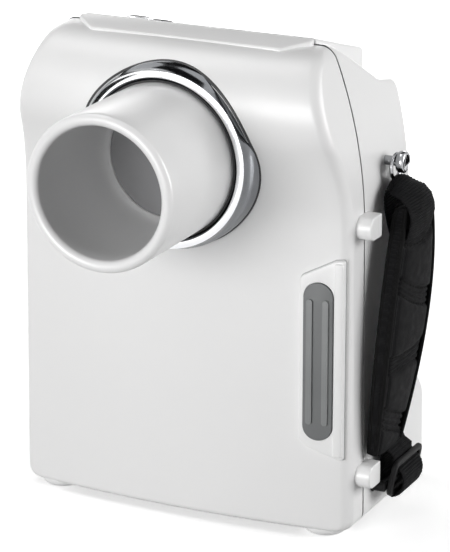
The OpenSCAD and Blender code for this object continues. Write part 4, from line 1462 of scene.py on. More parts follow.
@dataclass
class SideFittings(Assembly):
    """The two posts on the right side wall, the strap stud with its ring, and the strap bar.

    The lines are parts of profiles, as steps out from the axis and along it from a named corner.
    """

    shape: CasingShape = field(default_factory=CasingShape)
    post_zs: Flat = (142.3, 25.5)
    post_h: float = 10.6
    post_y: Flat = (-30.3, -17.5)
    post_reach: float = 7.0
    post_root: float = 1.5
    post_round: float = 0.98
    post_corner: float = 0.6
    stud: Point = (87.0, 5.5, 165.0)
    stud_r: float = 4.9
    stud_line: Line = (
        (-0.9, 0.0), (-0.3, 0.25), (0.0, 0.9), (0.0, 3.0), (-0.2, 3.5), (-0.7, 3.85), (-1.2, 3.9), (-1.5, 3.7),
    )
    stud_dish: float = 3.6
    neck_r: float = 2.2
    neck_l: float = 7.0
    neck_line: Line = ((0.0, -0.3), (0.3, 0.0))
    ring: Point = (85.7, 5.5, 162.65)
    ring_r: float = 5.5
    wire_r: float = 0.9
    bar: Point = (87.7, 6.0, 15.0)
    bar_r: float = 1.8
    bar_share: float = 0.6
    peg_r: float = 2.5
    peg_span: float = 15.5
    peg_root: float = 6.0
    peg_over: float = 0.4
    collar_line: Line = ((0.6, -0.2), (0.6, 0.4), (0.0, 0.9))
    peg_line: Line = ((0.0, -0.8), (-0.25, -0.25), (-0.8, 0.0))

    def post(self, name: str, z: float) -> Piece:
        """Makes a bumper with a round front.

        Args:
            name: Name of the piece.
            z: Height of its middle.

        Returns:
            The post.
        """
        r = self.post_h / 2
        front, back = self.post_y
        corners = [
            (front, -r, r * self.post_round), (back, -r, self.post_corner),
            (back, r, self.post_corner), (front, r, r * self.post_round),
        ]
        place = Facing.RIGHT.at(self.shape.half_width(z), 0, z)
        made = prism(name, rounded(corners, 12), -self.post_root, self.post_reach, place)
        return soften(made, width=1.3, steps=5)

    def stud_head(self) -> Piece:
        """Makes the stud: a neck and a wide, slightly dished head.

        Returns:
            The stud.
        """
        profile = [(0, -self.neck_l), (self.neck_r, -self.neck_l)]
        profile += about(self.neck_r, 0, self.neck_line)
        profile += about(self.stud_r, 0, self.stud_line)
        return lathe("stud_head", [*profile, (0, self.stud_dish)], Facing.RIGHT.at(*self.stud))

    def wire_ring(self) -> Piece:
        """Returns the ring that hangs on the stud's neck."""
        wire = [(self.ring_r + a, b) for a, b in oval(2 * self.wire_r, 2 * self.wire_r, 20)]
        return lathe("wire_ring", wire, Facing.RIGHT.at(*self.ring), closed=True)

    def strap_bar(self) -> Piece:
        """Makes the bar on its two pegs.

        Returns:
            The bar.
        """
        x, y, z = self.bar
        half = self.peg_span + self.peg_r * self.bar_share
        rod = [(0, -half), (self.bar_r, -half), (self.bar_r, half), (0, half)]
        wall = self.shape.half_width(z)
        end = x + self.bar_r + self.peg_over - wall
        peg = [(0, -self.peg_root), (self.peg_r, -self.peg_root)]
        peg += about(self.peg_r, 0, self.collar_line)
        peg += [*about(self.peg_r, end, self.peg_line), (0, end)]
        pegs = [lathe("peg", peg, Facing.RIGHT.at(wall, y + s * self.peg_span, z), steps=48) for s in (-1, 1)]
        return join(lathe("strap_bar_rod", rod, Facing.REAR.at(x, y, z), steps=40), *pegs)

    def build(self) -> None:
        """Builds the fittings of the right side."""
        for end, z in zip(("upper", "lower"), self.post_zs):
            # The posts wear the lighter white, painted light against their shade.
            self.keep(self.post(f"{end}_post", z), LIT_WHITE_TRIM, "post_white", f"{end}_side_post")
        # The stud and ring wear the darkened chrome, a painted dimmer reflection.
        self.keep(self.stud_head(), PAINTED_GREY_CHROME, "stud_chrome", "strap_stud")
        self.keep(self.wire_ring(), PAINTED_GREY_CHROME, "stud_chrome", "strap_ring")
        self.keep(self.strap_bar(), BLACK_PLASTIC, "buckle_black", "strap_bar")


@dataclass
class ControlDeck(Assembly):
    """Sloping deck block with its display window, exposure button, power button and four keys."""

    half_w: float = 57.5
    front_y: float = -20.4
    top: Flat = (-21.0, 224.0)
    tilt: float = 16.5
    end_y: float = 32.98
    foot_z: float = 186.0
    cut_top: float = 8.0
    pocket: float = -3.4
    window_x: float = 18.07
    window_s: float = 19.0
    window_size: Flat = (60.0, 26.0)
    window_r: float = 1.5
    window_gap: float = 0.1
    window_pocket: float = -1.25
    glass_thick: float = 1.2
    exposure: Flat = (-37.0, 16.0)
    exposure_r: float = 4.8
    exposure_h: float = 1.6
    ring_gap: float = 1.65
    ring_line: Line = (
        (0.3, -2.6), (1.6, -2.6), (1.6, 0.06), (2.2, 0.06), (2.15, 0.35), (1.8, 0.75),
        (1.3, 1.0), (0.8, 0.98), (0.45, 0.75), (0.3, 0.4),
    )
    power: Flat = (-24.8, 16.0)
    power_r: float = 4.6
    power_h: float = 0.9
    power_gap: float = 0.3
    key_names: tuple[str, ...] = ("mode_key", "minus_key", "plus_key", "store_key")
    key_step: float = 22.0
    key_s: float = 44.3
    key_size: Flat = (14.0, 6.5)
    key_h: float = 0.9
    key_gap: float = 0.6
    cap_foot: float = -2.0
    cap_round: float = 0.7
    dish_deep: float = 0.28
    dish_power: float = 0.6
    dish_shares: tuple[float, ...] = (0.8, 0.65, 0.45, 0.2)
    dish_middle: float = 0.3

    def place(self, x: float = 0.0, s: float = 0.0) -> Placement:
        """Finds a spot on the deck.

        Args:
            x: How far across.
            s: How far down the slope.

        Returns:
            A placement there that looks out of the deck.
        """
        t = math.radians(self.tilt)
        y, z = self.top
        origin = (x, y + s * math.cos(t), z - s * math.sin(t))
        down, out = (0.0, math.cos(t), -math.sin(t)), (0.0, math.sin(t), math.cos(t))
        return Placement(origin, (1.0, 0.0, 0.0), down, out)

    def key_place(self, number: int) -> Placement:
        """Returns the placement of a key, counted from the deck's left end."""
        return self.place((number - (len(self.key_names) - 1) / 2) * self.key_step, self.key_s)

    def block(self) -> Piece:
        """Makes the deck block.

        Returns:
            The block with pockets for the controls.
        """
        slope = math.tan(math.radians(self.tilt))
        y, z = self.top
        side = [
            (self.front_y, self.foot_z), (self.end_y, self.foot_z),
            (self.end_y, z - (self.end_y - y) * slope), (self.front_y, z - (self.front_y - y) * slope),
        ]
        made = prism("deck_block", side, -self.half_w, self.half_w, Facing.RIGHT.at(0, 0, 0))
        made = soften(made, width=1.6, steps=5)
        width, length = (size / 2 + self.window_gap for size in self.window_size)
        window = rounded(rectangle(width, length, self.window_r + self.window_gap))
        key = stadium(*(size + self.key_gap for size in self.key_size))
        low, high = self.pocket, self.cut_top
        exposure_r, power_r = self.exposure_r + self.ring_gap, self.power_r + self.power_gap
        return cut(
            made,
            prism("window_hole", window, self.window_pocket, high, self.place(self.window_x, self.window_s)),
            drill("exposure_hole", exposure_r, low, high, self.place(*self.exposure), steps=64),
            drill("power_hole", power_r, low, high, self.place(*self.power), steps=64),
            *(prism("key_hole", key, low, high, self.key_place(k)) for k in range(len(self.key_names))),
        )

    def glass(self) -> Piece:
        """Makes the display window.

        Returns:
            The window.
        """
        width, length = self.window_size
        outline = rounded(rectangle(width / 2, length / 2, self.window_r))
        place = self.place(self.window_x, self.window_s)
        return soften(prism("window_glass", outline, -self.glass_thick, 0, place), width=0.18)

    def cap(self, name: str, r: float, high: float, spot: Flat) -> Piece:
        """Makes a round push cap with a soft edge and a dished top.

        Args:
            name: Name of the piece.
            r: Radius.
            high: Height over the deck.
            spot: Place on the deck.

        Returns:
            The cap.
        """
        soft = self.cap_round
        edge = [(r - soft * (1 - math.cos(t)), high - soft * (1 - math.sin(t))) for t in quarter_turn(6)]
        dish = [(r * k, high - self.dish_deep * (1 - k) ** self.dish_power) for k in self.dish_shares]
        foot = [(0, self.cap_foot), (r, self.cap_foot)]
        return lathe(name, [*foot, *edge, *dish, (0, high - self.dish_middle)], self.place(*spot))

    def build(self) -> None:
        """Builds the deck and its controls."""
        glass, block = self.glass(), self.block()
        self.keep(block, WHITE_SHELL, "casing_white", "rear_shell")
        self.keep(glass, DARK_GLASS, "display_dark", "display_window")
        ring = about(self.exposure_r, 0, self.ring_line)
        ring = lathe("exposure_bezel", ring, self.place(*self.exposure), closed=True)
        self.keep(ring, CHROME, "stud_chrome", "exposure_ring")
        for name, radius, high, spot in (
            ("exposure_button", self.exposure_r, self.exposure_h, self.exposure),
            ("power_button", self.power_r, self.power_h, self.power),
        ):
            cap = self.cap(f"{name}_cap", radius, high, spot)
            self.keep(cap, DARK_BUTTON, "button_dark", name, body=f"{name}_body")
        for k, name in enumerate(self.key_names):
            cap = prism(f"{name}_cap", stadium(*self.key_size), self.cap_foot, self.key_h, self.key_place(k))
            self.keep(soften(cap, width=0.45, steps=4), GREY_KEY, "key_grey", name, body=f"{name}_body")


@dataclass
class HandStrap(Assembly):
    """Padded band with sewn channels, its binding and stitches, the webbing and the buckle.

    A place on the band is u, the share of its length from the top, and v, which goes from -1 at the front edge to 1
    at the back edge.
    """

    mid_y: float = 6.0
    front_edge: Line = ((0.065, -4.5), (0.3, -15.3), (0.6, -21.7), (1.0, -20.6))
    back_edge: Line = ((0.065, 21.0), (0.3, 25.2), (0.6, 20.6), (1.0, 5.8))
    thick: float = 9.0
    top_share: float = 0.45
    top_gain: float = 5.0
    low_thin: float = 0.36
    rim_share: float = 0.14
    crown_share: float = 0.36
    crown_x: float = 95.2
    arch_z: float = 146.0
    arch_r: float = 9.0
    arch_turn: float = 62.0
    low_z: float = 33.0
    close_in: float = 7.6
    close_power: float = 2.2
    curl: float = 1.5
    probe: float = 0.01
    pad_top: float = 0.065
    rows: int = 100
    face_end: float = 0.97
    face_sunk: float = 0.2
    inner_rise: float = 0.25
    edge_bulge: float = 0.02
    edge_rise: float = 0.9
    edge_shares: tuple[float, ...] = (0.1, 0.35, 0.65, 0.9)
    free_from: float = 0.15
    free_half: float = 0.95
    swell_cap: float = 1.1
    swell_top: float = 4.0
    swell_clear: float = 0.6
    swell_run: float = 6.0
    pressure: float = 4.0
    swell_frames: int = 20
    strips: tuple[tuple[Seam, Seam], ...] = (
        (((-5.0, 137.2), (5.0, 139.0), (14.0, 142.2)), ((-9.0, 131.6), (5.0, 129.0), (17.0, 131.4))),
        (((-13.5, 116.8), (-1.0, 110.0), (17.8, 103.8)), ((-18.1, 112.8), (-6.0, 105.1), (16.2, 96.4))),
        (((-19.7, 80.5), (-0.5, 78.9), (14.8, 79.9)), ((-17.7, 73.6), (-6.0, 72.8), (8.0, 71.2))),
        (((-17.5, 55.2), (-6.0, 50.4), (5.2, 46.0)), ((-14.9, 45.0), (-3.0, 40.2), (8.4, 36.0))),
    )
    strip_ridges: int = 3
    strip_deep: float = 1.3
    ridge_deep: float = 0.5
    seam_deep: float = 1.8
    seam_w: float = 1.1
    hem_share: float = 0.84
    hem_deep: float = 0.7
    hem_w: float = 0.8
    stitch_l: float = 2.1
    stitch_pitch: float = 3.0
    stitch_clear: float = 3.0
    stitch_size: Flat = (0.55, 0.42)
    stitch_proud: float = 0.12
    far_x: float = 130.0
    tape_size: Flat = (2.5, 2.1)
    tape_seat: Flat = (0.965, 0.2)
    rear_tape_seat: Flat = (0.99, 1.0)
    inner_tape_rise: float = 1.0
    tape_inset: float = 0.01
    web_t: float = 1.6
    web_shares: tuple[float, ...] = (-1.0, -0.97, -0.85, -0.6, -0.3, 0.0, 0.3, 0.6, 0.85, 0.97, 1.0)
    web_edge: float = 0.9
    web_taper: float = 7.5
    rib_pitch: float = 1.4
    rib_deep: float = 0.5
    rib_steps: int = 4
    loop_w: float = 28.0
    loop_rise: tuple[Point, ...] = (
        (0.18, -1.8, 0.8), (0.15, -0.8, 0.8), (0.12, 0.1, 0.9), (0.09, 0.5, 1.2), (0.06, 0.7, 2.0), (0.03, 1.0, 3.4),
    )
    loop_path: tuple[Station, ...] = (
        (92.6, 156.6, 24.5, 5.0, 4.6), (90.6, 158.4, 22.0, 4.5, 5.6), (88.4, 159.0, 20.0, 4.0, 5.8),
        (86.4, 158.2, 20.0, 4.5, 5.0), (84.9, 156.4, 21.0, 5.5, 3.0), (84.2, 153.8, 22.0, 6.0, 1.4),
        (83.9, 150.0, 22.0, 6.5, 0.5), (84.7, 144.0, 22.0, 6.5, 0.2), (86.6, 136.5, 22.0, 6.5, 0.0),
        (88.6, 130.0, 22.0, 6.5, 0.0), (89.7, 124.0, 22.0, 6.5, 0.0),
    )
    low_start: Line = ((0.95, -2.4), (0.975, -1.6), (1.0, -0.7))
    low_w: float = 19.0
    low_widen: float = 4.0
    low_lead: float = 7.5
    low_ease: int = 5
    buckle_path: Line = (
        (-2.2, 11.0), (-2.4, 8.0), (-1.2, 5.6), (1.2, 4.2), (3.4, 2.4), (4.6, -0.4), (4.8, -3.2), (4.0, -6.2),
        (2.6, -8.4), (0.6, -9.8), (-1.4, -9.4),
    )
    bar: Flat = (87.7, 15.0)
    bar_loop: float = 2.9
    bar_turn: Flat = (-0.9, -math.pi)
    tail_path: Line = ((0.1, 7.0), (0.6, 14.0), (1.4, 21.0))
    buckle: Flat = (92.4, 18.5)
    buckle_tilt: float = 12.0
    buckle_step: float = 7.5
    buckle_half: float = 14.5
    buckle_bar: Flat = (3.0, 2.4)
    buckle_corner: float = 2.6
    bar_corner: float = 0.85

    @property
    def arch_l(self) -> float:
        """Length of the arch at the band's top."""
        return self.arch_r * math.radians(self.arch_turn)

    @property
    def length(self) -> float:
        """Length of the band along its middle line."""
        return self.arch_l + self.arch_z - self.low_z

    def middle(self, u: float) -> Flat:
        """Follows the band's middle line.

        Args:
            u: Share of its length from the top.

        Returns:
            The place as (x, z).
        """
        along = u * self.length
        if along < self.arch_l:
            turn = math.radians(self.arch_turn) * (1 - along / self.arch_l)
            return self.crown_x - self.arch_r * (1 - math.cos(turn)), self.arch_z + self.arch_r * math.sin(turn)
        drop = self.arch_z - self.low_z
        fall = (along - self.arch_l) / drop
        return self.crown_x - self.close_in * fall**self.close_power, self.arch_z - drop * fall

    def outward(self, u: float) -> Flat:
        """Finds which way the band faces.

        Args:
            u: Share of its length from the top.

        Returns:
            The direction out of its face, as (x, z).
        """
        x0, z0 = self.middle(max(0.0, u - self.probe))
        x1, z1 = self.middle(min(1.0, u + self.probe))
        size = math.hypot(x1 - x0, z1 - z0)
        return (z0 - z1) / size, (x1 - x0) / size

    def share_at(self, z: float) -> float:
        """Returns the share along the band, from its top, that lies at a height."""
        return min(1.0, max(0.0, (self.arch_l + self.arch_z - z) / self.length))

    def axis_y(self, u: float) -> float:
        """Returns the middle between the band's long edges."""
        return (through(self.front_edge, u) + through(self.back_edge, u)) / 2

    def half(self, u: float) -> float:
        """Returns the band's half width."""
        return (through(self.back_edge, u) - through(self.front_edge, u)) / 2

    def depth(self, u: float) -> float:
        """Returns the band's thickness."""
        return self.thick * min(1.0, self.top_share + self.top_gain * u) * (1 - self.low_thin * u**4)

    def skin(self, u: float, v: float, h: float) -> Point:
        """Finds a place on the band.

        Args:
            u: Share of its length from the top.
            v: Share across it.
            h: Height out of its middle line.

        Returns:
            The place.
        """
        x, z = self.middle(u)
        a, b = self.outward(u)
        h -= self.curl * v * v * (1 - u)
        return x + a * h, self.axis_y(u) + v * self.half(u), z + b * h

    def face_h(self, u: float, v: float) -> float:
        """Returns the height of the band's outer face over its middle line."""
        return self.depth(u) * (self.rim_share + self.crown_share * max(0.0, 1 - v**4) ** 0.5)

    def seam_near(self, y: float, z: float) -> float:
        """Returns the distance to the nearest sewn strip, measured upright, 0 inside a strip."""
        spans = [(through(low, y), through(high, y)) for high, low in self.strips]
        return min(max(low - z, z - high, 0.0) for low, high in spans)

    def sunk(self, y: float, z: float) -> float:
        """Tells how deep the sewing pulls the cloth in.

        Args:
            y: Depth of the place.
            z: Height of the place.

        Returns:
            The depth of the hollow.
        """
        deep = 0.0
        for high, low in self.strips:
            bottom, top = through(low, y), through(high, y)
            share = (z - bottom) / (top - bottom)
            if 0 <= share <= 1:
                return self.strip_deep + self.ridge_deep * math.cos(2 * math.pi * self.strip_ridges * share)
            near = min(abs(z - bottom), abs(z - top))
            deep = max(deep, self.seam_deep * math.exp(-((near / self.seam_w) ** 2)))
        return deep

    def section(self, u: float) -> list[Point]:
        """Makes a section of the band: outer face, back edge, inner face, front edge.

        Args:
            u: Share of its length from the top.

        Returns:
            Points of the loop.
        """
        low, rim, end = -self.depth(u) / 2, self.face_h(u, 1.0), self.face_end
        outer = [(v, self.face_h(u, v) - self.face_sunk) for v in steps_between(-end, end, 30)]
        edge = [
            (1.0 + self.edge_bulge * math.sin(math.pi * k), rim + (low + self.edge_rise - rim) * k)
            for k in self.edge_shares
        ]
        inner = [(v, low + self.inner_rise) for v in steps_between(end, -end, 14)]
        loop = outer + edge + inner + [(-v, h) for v, h in reversed(edge)]
        return [self.skin(u, v, h) for v, h in loop]

    def pad_mesh(self) -> Piece:
        """Makes the unstuffed band.

        Returns:
            The band.
        """
        loops = [self.section(u) for u in steps_between(self.pad_top, 1, self.rows)]
        count = len(loops[0])
        faces = list(quads(len(loops), count, wrap_cols=True))
        faces += [tuple(range(count)), tuple(self.rows * count + k for k in range(count))]
        return piece("padded_band", [p for loop in loops for p in loop], faces)

    def outside(self, co: Vector) -> bool:
        """Tells whether a point lies on the outer face, clear of the edges.

        Args:
            co: The point, in metres.

        Returns:
            True where it does.
        """
        u = max(self.arch_l / self.length, self.share_at(co.z / MM))
        off = abs(co.y / MM - self.axis_y(u))
        return co.x / MM > self.middle(u)[0] + self.free_from * self.depth(u) and off < self.free_half * self.half(u)

    def swell_plainly(self, made: Piece, free: list[int]) -> None:
        """Args:
            made: The band.
            free: Points that may move.
        """
        for k in free:
            v = made.data.vertices[k]
            y, z = v.co.y / MM, v.co.z / MM
            rise = self.swell_cap * min(1.0, self.seam_near(y, z) / self.swell_run) ** 0.5
            u = self.share_at(z)
            v.co.x += rise * MM * max(0.0, 1 - ((y - self.axis_y(u)) / self.half(u)) ** 4)

    def stuff(self, made: Piece) -> None:
        """Fills the band: the cloth between the seams swells under pressure and is then fixed.

        Args:
            made: The band.
        """
        rest = [v.co.copy() for v in made.data.vertices]
        free = [
            v.index for v in made.data.vertices
            if self.outside(v.co) and v.co.z < (self.arch_z + self.swell_top) * MM
            and self.seam_near(v.co.y / MM, v.co.z / MM) > self.swell_clear
        ]
        loose = set(free)
        sewn = made.vertex_groups.new(name="sewn")
        sewn.add([v.index for v in made.data.vertices if v.index not in loose], 1.0, "REPLACE")
        cloth = made.modifiers.new("cloth", "CLOTH")
        cloth.settings.use_pressure = True
        cloth.settings.uniform_pressure_force = self.pressure
        cloth.settings.effector_weights.gravity = 0.0
        cloth.settings.vertex_group_mass = "sewn"
        for number in range(1, self.swell_frames + 1):
            bpy.context.scene.frame_set(number)
        graph = bpy.context.evaluated_depsgraph_get()
        swollen = [v.co.copy() for v in made.evaluated_get(graph).data.vertices]
        made.modifiers.clear()
        made.vertex_groups.clear()
        bpy.context.scene.frame_set(1)
        for v, was, now in zip(made.data.vertices, rest, swollen):
            move = now - was
            v.co = was + move * min(1.0, self.swell_cap * MM / max(move.length, TINY))

    def sew(self, made: Piece) -> None:
        """Draws the seams into the stuffed band.

        Args:
            made: The band.
        """
        smooth = made.modifiers.new("smooth", "SUBSURF")
        smooth.levels = 1
        settle_modifiers(made, sharp=60)
        for v in made.data.vertices:
            if self.outside(v.co):
                y, z = v.co.y / MM, v.co.z / MM
                u = self.share_at(z)
                side = abs(abs(y - self.axis_y(u)) - self.hem_share * self.half(u))
                v.co.x -= (self.sunk(y, z) + self.hem_deep * math.exp(-((side / self.hem_w) ** 2))) * MM
        tidy(made, sharp=80)

    def stitches(self, band: Piece) -> Piece:
        """Makes the stitches that lie in the seams.

        Args:
            band: The sewn band.

        Returns:
            All the stitches as one piece.
        """
        graph = bpy.context.evaluated_depsgraph_get()
        surface = BVHTree.FromObject(band, graph)
        inner_x = (self.crown_x - self.thick) * MM
        parts: list[Piece] = []
        for seam in (seam for strip in self.strips for seam in strip):
            u = self.share_at(seam[1][1])
            y = self.axis_y(u) - self.half(u) + self.stitch_clear
            end = self.axis_y(u) + self.half(u) - self.stitch_clear
            while y < end:
                line: list[Point] = []
                for t in steps_between(y, y + self.stitch_l, 3):
                    spot = Vector((self.far_x, t, through(seam, t))) * MM
                    hit = surface.ray_cast(spot, Vector((-1, 0, 0)))[0]
                    if hit and hit.x > inner_x:
                        line.append(tuple(hit / MM + Vector((self.stitch_proud, 0, 0))))
                if len(line) == 4:
                    parts.append(sweep("stitch", line, oval(*self.stitch_size, steps=6), (1, 0, 0)))
                y += self.stitch_pitch
        return join(*parts)

    def binding(self, name: str, side: int, inner: bool) -> Piece:
        """Returns the folded tape along one long edge.

        Args:
            name: Name of the piece.
            side: 1 at the back edge and -1 at the front edge.
            inner: Whether it follows the hand's side.

        Returns:
            The tape.
        """
        v, lift = self.rear_tape_seat if side > 0 and not inner else self.tape_seat
        path: list[Point] = []
        for u in steps_between(self.pad_top + self.tape_inset, 1 - self.tape_inset, 80):
            h = self.inner_tape_rise - self.depth(u) / 2 if inner else self.face_h(u, 1.0) + lift
            path.append(self.skin(u, side * v, h))
        return sweep(name, path, oval(*self.tape_size, steps=14), (0, 1, 0))

    def webbing(self, name: str, stations: Sequence[Station]) -> Piece:
        """Makes a ribbed flat strap along a path in the XZ plane.

        Args:
            name: Name of the piece.
            stations: Points of its middle line as (x, z, width, y, bow), where y is the middle of the strap and
                bow is how far its edges lie below its middle.

        Returns:
            The strap.
        """
        line = [Vector(station[:2]) for station in stations]
        spans = [(b - a).length for a, b in zip(line, line[1:])]
        count = max(8, round(sum(spans) / self.rib_pitch) * self.rib_steps)
        loops: list[Point] = []
        for k in range(count + 1):
            left, m = sum(spans) * k / count, 0
            while m < len(spans) - 1 and left > spans[m]:
                left -= spans[m]
                m += 1
            share = min(1.0, left / spans[m])
            ways = [(line[min(n + 1, len(line) - 1)] - line[max(n - 1, 0)]).normalized() for n in (m, m + 1)]
            way = ways[0].lerp(ways[1], share).normalized()
            here = line[m].lerp(line[m + 1], share)
            width, y, bow = (a + (b - a) * share for a, b in zip(stations[m][2:], stations[m + 1][2:]))
            up = Vector((-way.y, way.x))
            wave = abs(math.sin(math.pi * k / self.rib_steps))
            half = self.web_t / 2 - self.rib_deep + self.rib_deep * wave
            ring = [(v, half * (1 - self.web_taper * max(0, abs(v) - self.web_edge))) for v in self.web_shares]
            ring += [(v, -h) for v, h in reversed(ring)]
            for v, h in ring:
                spot = here + up * (h + bow * v * v)
                loops.append((spot.x, y + v * width / 2, spot.y))
        size = 2 * len(self.web_shares)
        faces = list(quads(count + 1, size, wrap_cols=True))
        faces += [tuple(range(size)), tuple(count * size + j for j in range(size))]
        return tidy(piece(name, loops, faces), sharp=70)

    def on_buckle(self, p: float, q: float) -> Flat:
        """Finds a place by the buckle.

        Args:
            p: How far out of its plane.
            q: How far up along it.

        Returns:
            The place as (x, z).
        """
        t = math.radians(self.buckle_tilt)
        x, z = self.buckle
        return x + p * math.cos(t) + q * math.sin(t), z - p * math.sin(t) + q * math.cos(t)

    def over_face(self, u: float, h: float) -> Flat:
        """Returns a place over the middle of the band's outer face, as (x, z)."""
        x, _, z = self.skin(u, 0, self.face_h(u, 0) + h)
        return x, z

    def top_loop(self) -> Piece:
        """Returns the webbing that leaves the band's face, goes over through the ring and down behind the band."""
        start = [(*self.over_face(u, h), self.loop_w, self.mid_y, bow) for u, h, bow in self.loop_rise]
        return self.webbing("top_loop", [*start, *self.loop_path])

    def low_webbing(self) -> Piece:
        """Makes the webbing that leaves the band's face, bulges through the buckle and goes round the bar.

        Returns:
            The webbing.
        """
        x, z = self.bar
        r = self.bar_loop
        path = [self.over_face(u, h) for u, h in self.low_start]
        path += [self.on_buckle(p, q) for p, q in self.buckle_path]
        path += [(x + r * math.cos(t), z + r * math.sin(t)) for t in steps_between(*self.bar_turn, 9)]
        path += about(x - r, z, self.tail_path)
        stations: list[Station] = []
        for k, (a, c) in enumerate(path):
            ease = min(1.0, k / self.low_ease)
            stations.append((a, c, self.low_w + self.low_widen * ease, self.mid_y - self.low_lead * (1 - ease), 0.0))
        return self.webbing("low_webbing", stations)

    def frame_buckle(self) -> Piece:
        """Makes the rounded three-bar frame.

        Returns:
            The buckle.
        """
        half, (wide, high) = self.buckle_half, self.buckle_bar
        section = rounded(rectangle(wide / 2, high / 2, self.bar_corner), 4)
        t = math.radians(self.buckle_tilt)
        normal = (math.cos(t), 0.0, -math.sin(t))

        def lift(y: float, q: float) -> Point:
            """Returns the place of a point of the buckle's plane."""
            x, z = self.on_buckle(0, q)
            return x, self.mid_y + y, z

        outline = rounded(rectangle(half, self.buckle_step, self.buckle_corner), 8)
        loop = sweep("frame_buckle", [lift(y, q) for y, q in outline], section, normal, closed=True)
        bar = sweep("middle_bar", [lift(y, 0) for y in steps_between(-half, half, 8)], section, normal)
        return join(loop, bar)

    def build(self) -> None:
        """Builds the strap from its band outwards."""
        band = self.pad_mesh()
        self.stuff(band)
        self.sew(band)
        self.keep(band, BLACK_CLOTH, "strap_black", "strap_pad")
        self.keep(self.stitches(band), BLACK_THREAD, "strap_black", "strap_pad")
        for name, side, inner in (
            ("front_outer_binding", -1, False), ("rear_outer_binding", 1, False),
            ("front_inner_binding", -1, True), ("rear_inner_binding", 1, True),
        ):
            self.keep(self.binding(name, side, inner), BLACK_BINDING, "web_black", "strap_pad")
        self.keep(self.top_loop(), BLACK_WEB, "web_black", "strap_top_web")
        self.keep(self.low_webbing(), BLACK_WEB, "web_black", "strap_low_web")
        self.keep(self.frame_buckle(), BLACK_PLASTIC, "buckle_black", "strap_buckle")


@dataclass
class Inside(Assembly):
    """Inner parts, which keep their own solids and get their finishes."""

    finishes: dict[str, Finish] = field(default_factory=lambda: {
        "shell_screws": STEEL, "tripod_insert": BRASS, "display_module": DARK_GLASS, "control_board": GREEN_BOARD,
        "buzzer": BLACK_PLASTIC, "generator_tank": ALUMINIUM, "tube_envelope": CLEAR_GLASS, "anode": COPPER,
        "cathode": STEEL, "collimator": LEAD, "filter_disc": ALUMINIUM, "step_up_transformer": BROWN_CORE,
        "chassis_plate": ALUMINIUM, "chassis_screws": STEEL, "drive_board": GREEN_BOARD, "battery_pack": BLUE_WRAP,
        "battery_screws": STEEL, "charge_socket": BLACK_PLASTIC,
    })

    def build(self) -> None:
        """Finds the nodes; their meshes are already there."""
        missing = set(self.finishes) - set(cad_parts)
        if missing:
            raise ValueError(f"no such nodes: {sorted(missing)}")

    def dress(self) -> None:
        """Gives each node its finish."""
        for node, finish in self.finishes.items():
            coat(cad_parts[node].data, finish)
            log.info("%s: %s", node, finish.name)


@dataclass(frozen=True)
class Lamp:
    """A soft square lamp, sizes in metres."""

    name: str
    place: Point
    size: float
    power: float
    aim: Point = (0.0, 0.0, 0.1)


@dataclass(frozen=True)
class Card:
    """A dark board that only shows in gloss, sizes in metres."""

    name: str
    place: Point
    aim: Point
    width: float
    height: float


